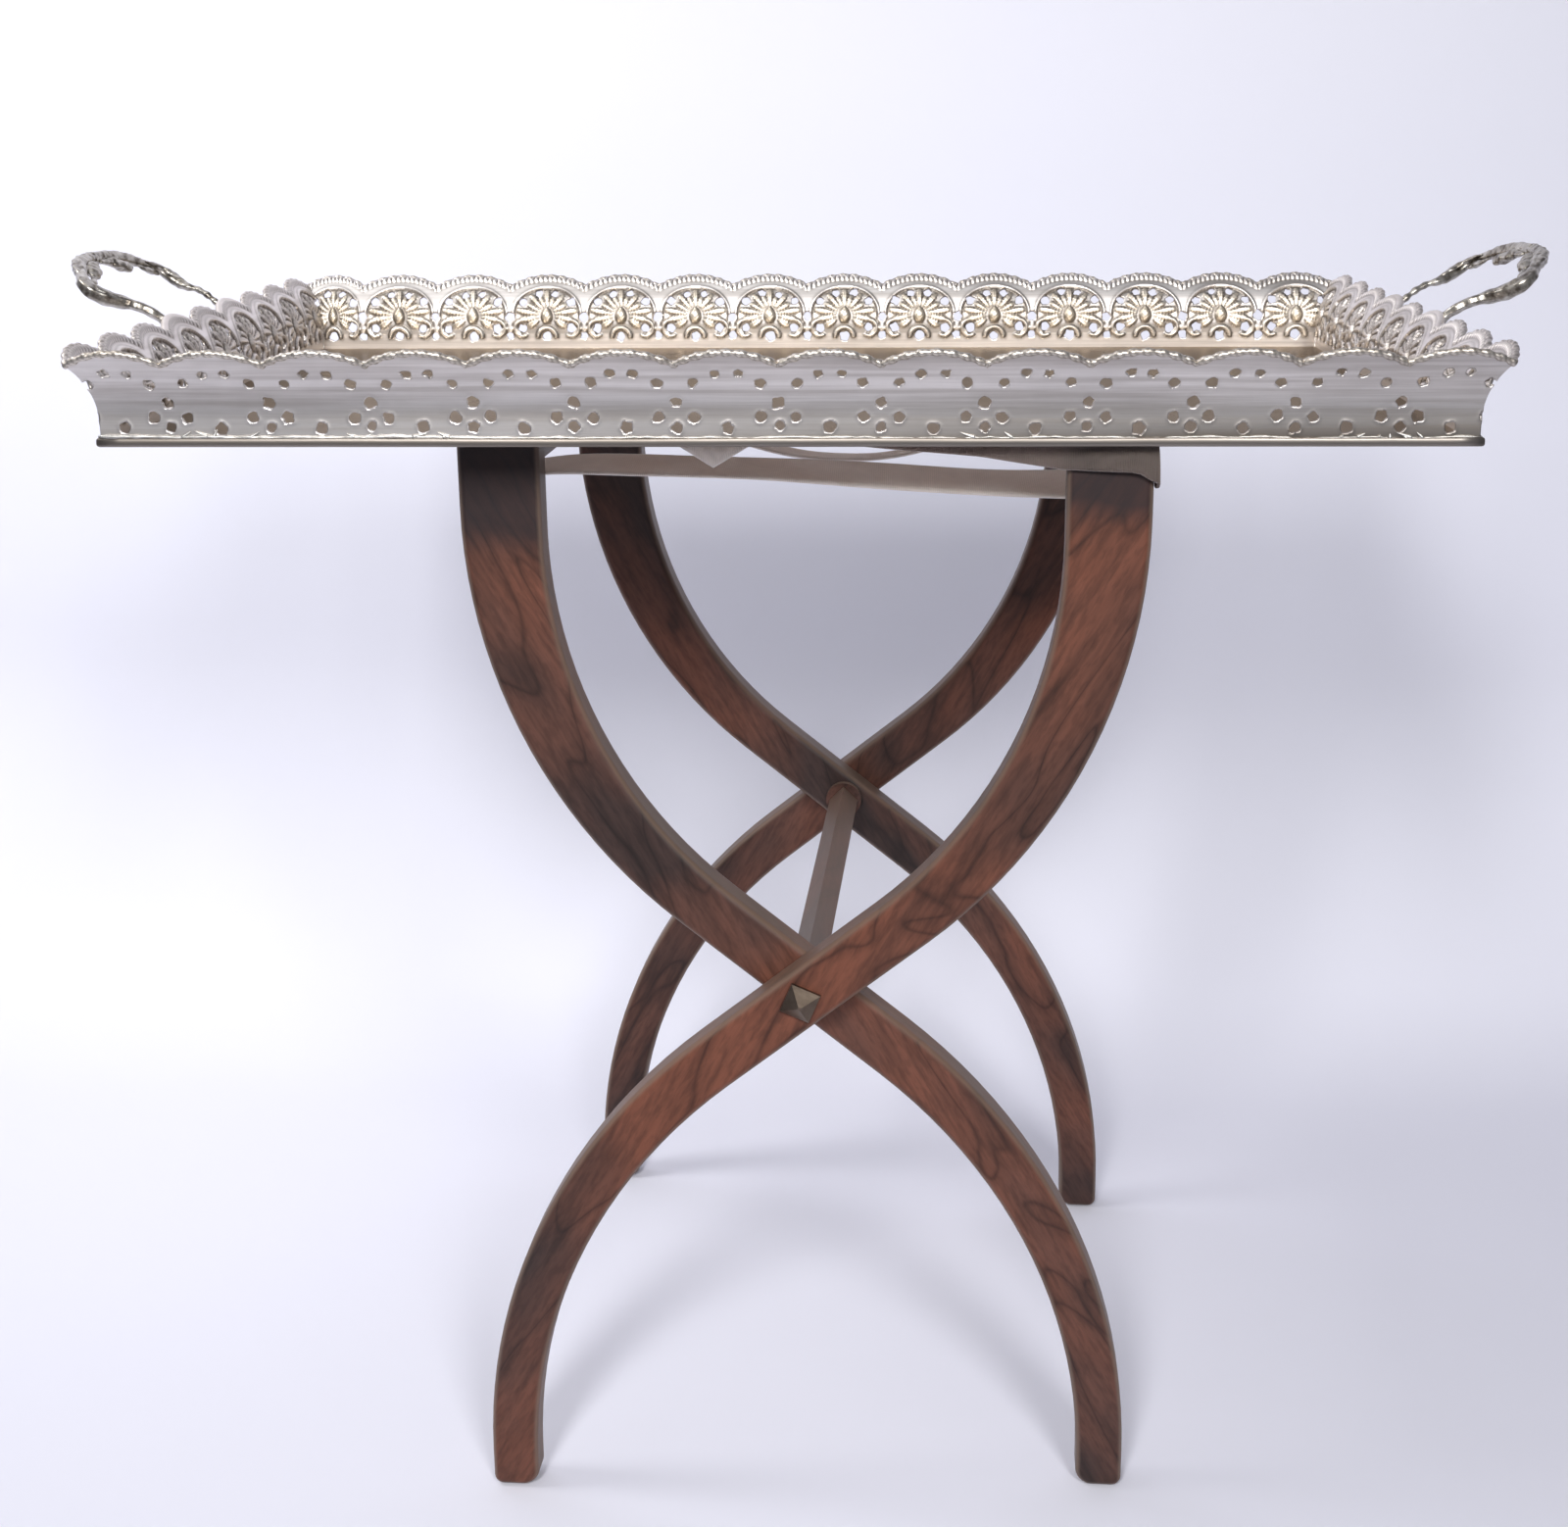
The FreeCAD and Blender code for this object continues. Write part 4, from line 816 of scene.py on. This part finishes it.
# %% Tray floor and solder
# section of the lip: outwards from the wall's foot, and up from the underside
LIP = [
    (-0.6, 1.2), (0.05, 1.2), (0.05, 3.9), (0.6, 4.4), (1.4, 4.2), (1.75, 3.6), (1.8, 2.4), (1.8, 1.2),
    (1.4, 0.4), (0.6, 0.05), (-4, 0),
]
UNDERSIDE = 580.0
SIDE_STEPS = 60


def round_the_tray(offset, steps):
    """Corners and points between them, round the foot of the gallery moved outwards by offset."""
    x, y = HALF_LENGTH + offset, HALF_WIDTH + offset
    corners = np.array([(-x, -y), (x, -y), (x, y), (-x, y)])
    share = np.linspace(0, 1, steps, endpoint=False)[:, None]
    return np.vstack([a + (b - a) * share for a, b in zip(corners, np.roll(corners, -1, axis=0))])


def make_floor():
    """Floor and lip in one closed mesh, its lip a little wavy, with a duller silver on its two big faces."""
    random = np.random.default_rng(11)
    wave = np.convolve(random.normal(0, 1, 4 * SIDE_STEPS + 8), np.ones(9) / 9, "valid")
    rings = []
    for i, (offset, up) in enumerate(LIP):
        flat = round_the_tray(offset, SIDE_STEPS)
        lift = 0.3 * wave * (2 <= i <= 8)
        rings.append(np.column_stack([flat, UNDERSIDE + up + lift]))
    count = 4 * SIDE_STEPS
    faces = []
    for i in range(len(LIP) - 1):
        for j in range(count):
            k = (j + 1) % count
            faces.append((i * count + j, i * count + k, (i + 1) * count + k, (i + 1) * count + j)[::-1])
    faces.append(tuple(range(count)))
    faces.append(tuple((len(LIP) - 1) * count + j for j in range(count))[::-1])
    points = np.vstack(rings)
    on_floor = np.arange(len(points)) < count
    # painted shade: the lip and underside are darkened, the floor itself barely
    shades = {"gilt": np.where(on_floor, 0.15, 0.0), "recess": np.where(on_floor, 0.05, 0.85)}
    place = ("tray", "silver_plate", ["tray_base"])
    piece = make_piece("tray_floor", points, faces, sheet_silver, *place, **shades)
    piece.data.materials.append(floor_silver)
    for sheet in piece.data.polygons[-2:]:
        sheet.material_index = 1
    return piece


def make_solder():
    """Bead along the lip: a flattened tube of uneven thickness, with runs up the wall."""
    random = np.random.default_rng(5)
    steps = 260
    path = round_the_tray(0.7, steps)
    rough = np.convolve(random.normal(0, 1, 4 * steps + 4), np.ones(5) / 5, "valid")
    fine = random.normal(0, 1, 4 * steps)
    left_corner = np.exp(-((np.arange(4 * steps) / 70) ** 2))
    radii = np.clip(0.3 + 0.32 * rough + 0.12 * fine + 0.7 * left_corner, 0.12, 1.8)
    line = np.column_stack([path, UNDERSIDE + 4.4 + 0.4 * rough + 0.6 * left_corner])
    parts = [tube(line, radii, 8, (0, 0, 1), 1.0)]
    spots = [*random.integers(0, 4 * steps, 30), *random.integers(0, 70, 6), *random.integers(225, 258, 7)]
    for spot in spots:
        along = line[spot]
        tall = random.uniform(1.0, 3.6)
        slant = random.normal(0, 4)
        toward = path[(spot + 1) % len(path)] - path[spot]
        toward = np.append(toward / np.linalg.norm(toward), 0)
        top = along + toward * slant + np.array([0, 0, tall])
        run = [(*(along + (top - along) * t), 1.0 - 0.8 * t) for t in (0, 0.4, 0.8, 1)]
        parts.append(limb(run, 10, sides=8, up=(toward[1], -toward[0], 0)))
    points, faces = joined(parts)
    return make_piece("solder_bead", points, faces, solder, "tray", "silver_plate")


floor = make_floor()
bead = make_solder()
print("floor and solder:", len(floor.data.polygons), len(bead.data.polygons))

# %% [markdown]
# ## Webbing
# Three straps of webbing tie the two frames together and carry the tray. A cloth simulation could hang
# them, but a grid of points is easier to match to a photograph.

# %% Strap helpers
# the stand is turned and shifted a little under its tray
STAND_TURN = math.radians(2.4)
STAND_SHIFT = 13.0
# outside of the rails, and thickness of the webbing
RAIL_X = 161.2
STRAP = 1.5


def in_stand(points):
    """Points given square to the stand, moved to where it stands under the tray."""
    x, y, z = np.asarray(points, float).T
    turned = [STAND_SHIFT + x * math.cos(STAND_TURN) + y * math.sin(STAND_TURN)]
    turned += [y * math.cos(STAND_TURN) - x * math.sin(STAND_TURN), z]
    return np.stack(turned, -1)


def cloth_faces(grid):
    """Quads over a grid of point numbers."""
    corners = [grid[:-1, :-1], grid[:-1, 1:], grid[1:, 1:], grid[1:, :-1]]
    return np.stack(corners, -1).reshape(-1, 4).tolist()


def make_strap(node, points, faces, material=linen):
    """Cloth with a woven thickness, in place of its CAD strap node."""
    strap = make_mesh(node + "_cloth", in_stand(points), faces, material)
    thicken = strap.modifiers.new("thickness", "SOLIDIFY")
    thicken.thickness = STRAP * MM
    thicken.offset = 0
    bpy.context.view_layer.objects.active = strap
    with bpy.context.temp_override(object=strap, active_object=strap, selected_objects=[strap]):
        bpy.ops.object.modifier_apply(modifier=thicken.name)
    start, end = in_stand([(108, -120, 560), (-135, -120, 560)]) * MM
    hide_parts(node)
    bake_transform(strap)
    return strap


def ribbon(path, tilt, width, across=10):
    """Grid of points: a path in the XZ plane with its Y, swept by a strap that tilts about the path."""
    path = np.asarray(path, float)
    over = np.linspace(-0.5, 0.5, across)[None, :] * width
    lean = np.asarray(tilt, float)[:, None]
    x = np.repeat(path[:, :1], across, axis=1)
    y = path[:, 1:2] + over * np.cos(lean)
    z = path[:, 2:3] + over * np.sin(lean)
    return np.stack([x, y, z], -1)


print("webbing:", STRAP, "mm thick")

# %% [markdown]
# ## Front and rear straps
# The front strap runs taut under both rails with a slight twist; the rear one is slack and hangs in a deep
# curve. A ribbon swept along a smooth path keeps each at an even width.


# %% Front and rear straps
def make_front_strap():
    """Taut strap under the rails, tilted towards its right-hand end, with shallow creases."""
    corners = [
        (RAIL_X + 0.3, -124, 562), (RAIL_X, -124, 556.5), (RAIL_X - 4, -125, 552.6), (140, -126, 550.2),
        (100, -127, 550.4), (40, -127, 553.6), (-40, -127, 557.4), (-110, -127, 558.6), (-140, -125, 556.4),
        (-RAIL_X + 4, -124, 554.6), (-RAIL_X, -124, 557), (-RAIL_X - 0.3, -124, 563),
    ]
    path = smooth_path(corners, 90)
    along = np.linspace(0, 1, len(path))
    twist = np.interp(along, [0, 0.16, 0.3, 0.75, 0.88, 1], [0, 0.2, 0.17, 0.02, -0.02, 0])
    grid = ribbon(path, twist, 40)
    creases = 0.35 * np.sin(grid[:, :, 0] / 21 + grid[:, :, 1] / 9)
    grid[:, :, 2] += creases * np.clip(np.minimum(along, 1 - along) * 8, 0, 1)[:, None]
    numbers = np.arange(grid.shape[0] * grid.shape[1]).reshape(grid.shape[:2])
    return make_strap("front_strap", grid.reshape(-1, 3), cloth_faces(numbers))


def make_rear_strap():
    """Slack strap over the rails that sags between them."""
    corners = [
        (RAIL_X + 0.3, 108, 570), (RAIL_X, 108, 575), (RAIL_X - 3, 108, 578.6), (149, 108, 578.8),
        (138, 108, 574.5), (116, 108, 562), (92, 107, 548), (62, 106, 534.5), (34, 106, 527.4),
        (8, 106, 525.4), (-24, 106, 527.4), (-58, 106, 536), (-92, 107, 550), (-116, 108, 563),
        (-138, 108, 574.5), (-149, 108, 578.8), (-RAIL_X + 3, 108, 578.6), (-RAIL_X, 108, 575),
        (-RAIL_X - 0.3, 108, 570),
    ]
    path = smooth_path(corners, 110)
    along = np.linspace(0, 1, len(path))
    twist = -0.08 * np.sin(math.pi * along) ** 2
    grid = ribbon(path, twist, 45)
    numbers = np.arange(grid.shape[0] * grid.shape[1]).reshape(grid.shape[:2])
    return make_strap("rear_strap", grid.reshape(-1, 3), cloth_faces(numbers))


swept_straps = [make_front_strap(), make_rear_strap()]
print("swept straps:", [strap.name for strap in swept_straps])

# %% [markdown]
# ## Strap under the tray
# The widest strap lies under the tray. Its front edge hangs as a skirt over the right-hand front leg, and a
# pale ear pokes out at the left. One ribbon can't turn a corner, so these are three patches of one mesh.

# %% Strap under the tray
# how far the skirt falls at its end, and the ear's area in square millimetres
SKIRT_DROP, EAR_AREA = 24, 330
# corners of the ear
EAR = np.array([(-65.5, -166, 578.4), (-35, -169.5, 578.4), (-18, -166.5, 578.4), (-42, -167, 563.9)])


def make_top_strap():
    """Strap under the tray: flat over both rails, its front edge hanging over the right-hand front leg."""
    left, right, front, top = -162.0, 170.6, -189.2, 579.1
    columns, rows = 84, 14
    x = np.linspace(left, right, columns)
    edge = np.interp(x, [left, 30, 60, right], [-146, front + 4, front, front])
    back = np.interp(x, [left, right], [-89, front + 57])
    share = np.linspace(0, 1, rows)[:, None]
    y = edge + (back - edge) * share
    sag = 3.2 * np.exp(-(((x + 60) / 60) ** 2)) + 5 * np.exp(-(((x + 128) / 14) ** 2))
    z = top - sag * (1 - share)
    points = np.stack([np.broadcast_to(x, y.shape), y, z], -1).reshape(-1, 3)
    numbers = np.arange(rows * columns).reshape(rows, columns)
    faces = cloth_faces(numbers)
    hem = [(numbers[0, i], (0.0, -1.0)) for i in range(columns - 1) if x[i] > 30]
    hem += [(numbers[0, -1], (0.7, -0.7))] + [(numbers[j, -1], (1.0, 0.0)) for j in range(1, rows)]
    along = np.linspace(0, 1, len(hem))
    drop = np.interp(along, [0, 0.3, 0.5, 0.68, 0.76, 1], [0.5, 5, 11, 12, 21, SKIRT_DROP])
    hem_numbers = [number for number, _ in hem]
    skirt = [hem_numbers]
    for part in np.linspace(0, 1, 7)[1:]:
        row = []
        for (number, outward), fall, place in zip(hem, drop, along):
            out = 1.4 * math.sin(part * math.pi / 2) + 0.8 * part * math.sin(22 * place)
            start = points[number]
            point = start + np.array([outward[0] * out, outward[1] * out, -fall * part - 0.3 * part])
            row.append(len(points))
            points = np.vstack([points, point])
        skirt.append(row)
    faces += cloth_faces(np.array(skirt))
    first = len(points)
    points = np.vstack([points, EAR])
    faces += [(first, first + 3, first + 1), (first + 1, first + 3, first + 2)]
    strap = make_strap("top_strap", points, faces, shaded_linen)
    strap.data.materials.append(linen)
    ear_box = in_stand(EAR) * MM
    low, high = ear_box.min(axis=0) - STRAP * MM, ear_box.max(axis=0) + STRAP * MM
    for face in strap.data.polygons:
        middle = np.array(face.center)
        face.material_index = int(np.all((middle > low) & (middle < high)))
    return strap


top_strap = make_top_strap()
print("strap under the tray:", len(top_strap.data.polygons), "faces")

# %% [markdown]
# ## The stand
# The legs, rails and pivots are the CAD pieces themselves; modelling them again would add nothing. They
# only need materials, with the grain along each frame's own slant.

# %% Materials for the CAD pieces
by_slot = {"rosewood": outer_wood, "iron": iron, "aged_brass": brass, "webbing": linen}
by_slot["silver_plate"] = sheet_silver
inner_nodes = frame["record"]["behaviour"]["bodies"]["inner_frame"]
for part in frame["record"]["subparts"]:
    node = frame["nodes"][part["node"]]
    node.data.materials.clear()
    material = by_slot[part["material_slot"]]
    if "leg" not in part["node"] and material is outer_wood:
        material = rail_wood
    elif material is outer_wood and part["node"] in inner_nodes:
        material = inner_wood
    node.data.materials.append(material)

# %% [markdown]
# ## Paper sweep
# The table stands on pale paper that bends up behind it. A floor and a wall would show where they meet; one
# rounded sheet doesn't. From its back the paper is clear, so that it never hides the table.

# %% Paper sweep
# front edge, start and radius of the bend, top edge and half width, in metres
PAPER_FRONT, PAPER_TURN, PAPER_BEND, PAPER_TOP = -1.1, 0.3, 0.3, 2.6
PAPER_HALF = 2.2
SWEEP = [(PAPER_FRONT, 0.0), (PAPER_TURN, 0.0)]
for angle in np.linspace(0.1, math.pi / 2, 14):
    SWEEP.append((PAPER_TURN + PAPER_BEND * math.sin(angle), PAPER_BEND * (1 - math.cos(angle))))
SWEEP.append((PAPER_TURN + PAPER_BEND, PAPER_TOP))
sweep_points = [
    (x * 1000, y * 1000, z * 1000 - 0.5) for y, z in SWEEP for x in (-PAPER_HALF, PAPER_HALF)
]
sweep_faces = [(2 * i, 2 * i + 1, 2 * i + 3, 2 * i + 2) for i in range(len(SWEEP) - 1)]
paper = Graph("paper")
paper.surface(Base_Color=(0.78, 0.78, 0.86), Roughness=0.9, Specular_IOR_Level=0.1)
paper_front = paper.output.inputs["Surface"].links[0].from_socket
behind = paper.add("NewGeometry").outputs["Backfacing"]
one_sided = paper.add("MixShader", {0: behind, 1: paper_front, 2: paper.add("BsdfTransparent")})
paper.feed(paper.output, "Surface", one_sided)
backdrop = make_mesh("backdrop", sweep_points, sweep_faces, paper.material)
print("paper:", len(sweep_faces), "faces")

# %% [markdown]
# ## Lamps and room
# Two tall soft lamps stand in front, one lights the paper on the left and one hangs overhead. A single lamp
# would leave hard shadows. The room gives little light, but looks paler to the camera and to shiny pieces.


# %% Lamps and room
def area_light(name, place, target, size, power):
    """Soft lamp that points from its place to a target; metres and watts."""
    light = bpy.data.lights.new(name, "AREA")
    light.shape = "RECTANGLE"
    light.size, light.size_y = size
    light.energy = power
    light.spread = math.radians(110)
    lamp = bpy.data.objects.new(name, light)
    lamp.location = place
    lamp.rotation_euler = (Vector(target) - Vector(place)).to_track_quat("-Z", "Y").to_euler()
    scene.collection.objects.link(lamp)


area_light("key", (-0.45, -2.3, 1.85), (0, 0.3, 0.4), (0.4, 0.8), 15.5)
area_light("fill", (0.75, -2.3, 1.8), (-0.1, 0.3, 0.3), (0.5, 0.8), 12)
area_light("glow", (-1.4, -0.1, 1.7), (-0.6, 0.7, 0.8), (0.6, 0.6), 8)
area_light("overhead", (-0.5, -0.2, 2.4), (-0.1, 0.1, 0.5), (1.4, 1.0), 2)
# strength of the room's light, and how bright it looks to some kinds of ray
ROOM_LIGHT = 0.12
SEEN_BY = {"Is Camera Ray": 0.95, "Is Glossy Ray": 0.32, "Is Transmission Ray": 0.32}
room = bpy.data.worlds.new("room")
room.use_nodes = True
walls_of_room = room.node_tree.nodes["Background"]
walls_of_room.inputs["Color"].default_value = (0.80, 0.82, 0.92, 1)
light_path = room.node_tree.nodes.new("ShaderNodeLightPath")
strength = walls_of_room.inputs["Strength"]
for ray, level in SEEN_BY.items():
    added = room.node_tree.nodes.new("ShaderNodeMath")
    added.operation = "MULTIPLY_ADD"
    added.inputs[1].default_value = level - ROOM_LIGHT
    added.inputs[2].default_value = ROOM_LIGHT
    room.node_tree.links.new(light_path.outputs[ray], added.inputs[0])
    room.node_tree.links.new(added.outputs[0], strength)
    strength = added.inputs[2]
scene.world = room
scene.view_settings.view_transform = "Standard"
print("lamps:", len(bpy.data.lights))

# %% [markdown]
# ## Camera
# The camera stands where the photograph's did, solved from points on the tray and the legs. Turning it by
# eye would nearly do, but the lens's middle isn't the picture's, and only a shift gives that.

# %% Camera
# size of the photograph, length and middle of its lens, all in its pixels
PHOTO_WIDTH, PHOTO_HEIGHT = 1600, 1558
LENS_LENGTH, LENS_X, LENS_Y = 2209.6, 835.65, 723.28
SENSOR = 36
# degrees
HEADING, DIP, ROLL = 2.136, 15.757, -0.363
camera = bpy.data.cameras.new("camera")
camera.sensor_width = SENSOR
camera.lens = LENS_LENGTH / PHOTO_WIDTH * SENSOR
camera.shift_x = (PHOTO_WIDTH / 2 - LENS_X) / PHOTO_WIDTH
camera.shift_y = (LENS_Y - PHOTO_HEIGHT / 2) / PHOTO_WIDTH
eye = bpy.data.objects.new("camera", camera)
eye.location = (0.0536, -1.2091, 0.7368)
heading = Matrix.Rotation(math.radians(HEADING), 3, "Z")
dip = Matrix.Rotation(math.radians(90 - DIP), 3, "X")
roll = Matrix.Rotation(math.radians(ROLL), 3, "Z")
eye.rotation_euler = (heading @ dip @ roll).to_euler()
scene.collection.objects.link(eye)
scene.camera = eye
print("lens:", round(camera.lens, 1), "mm")
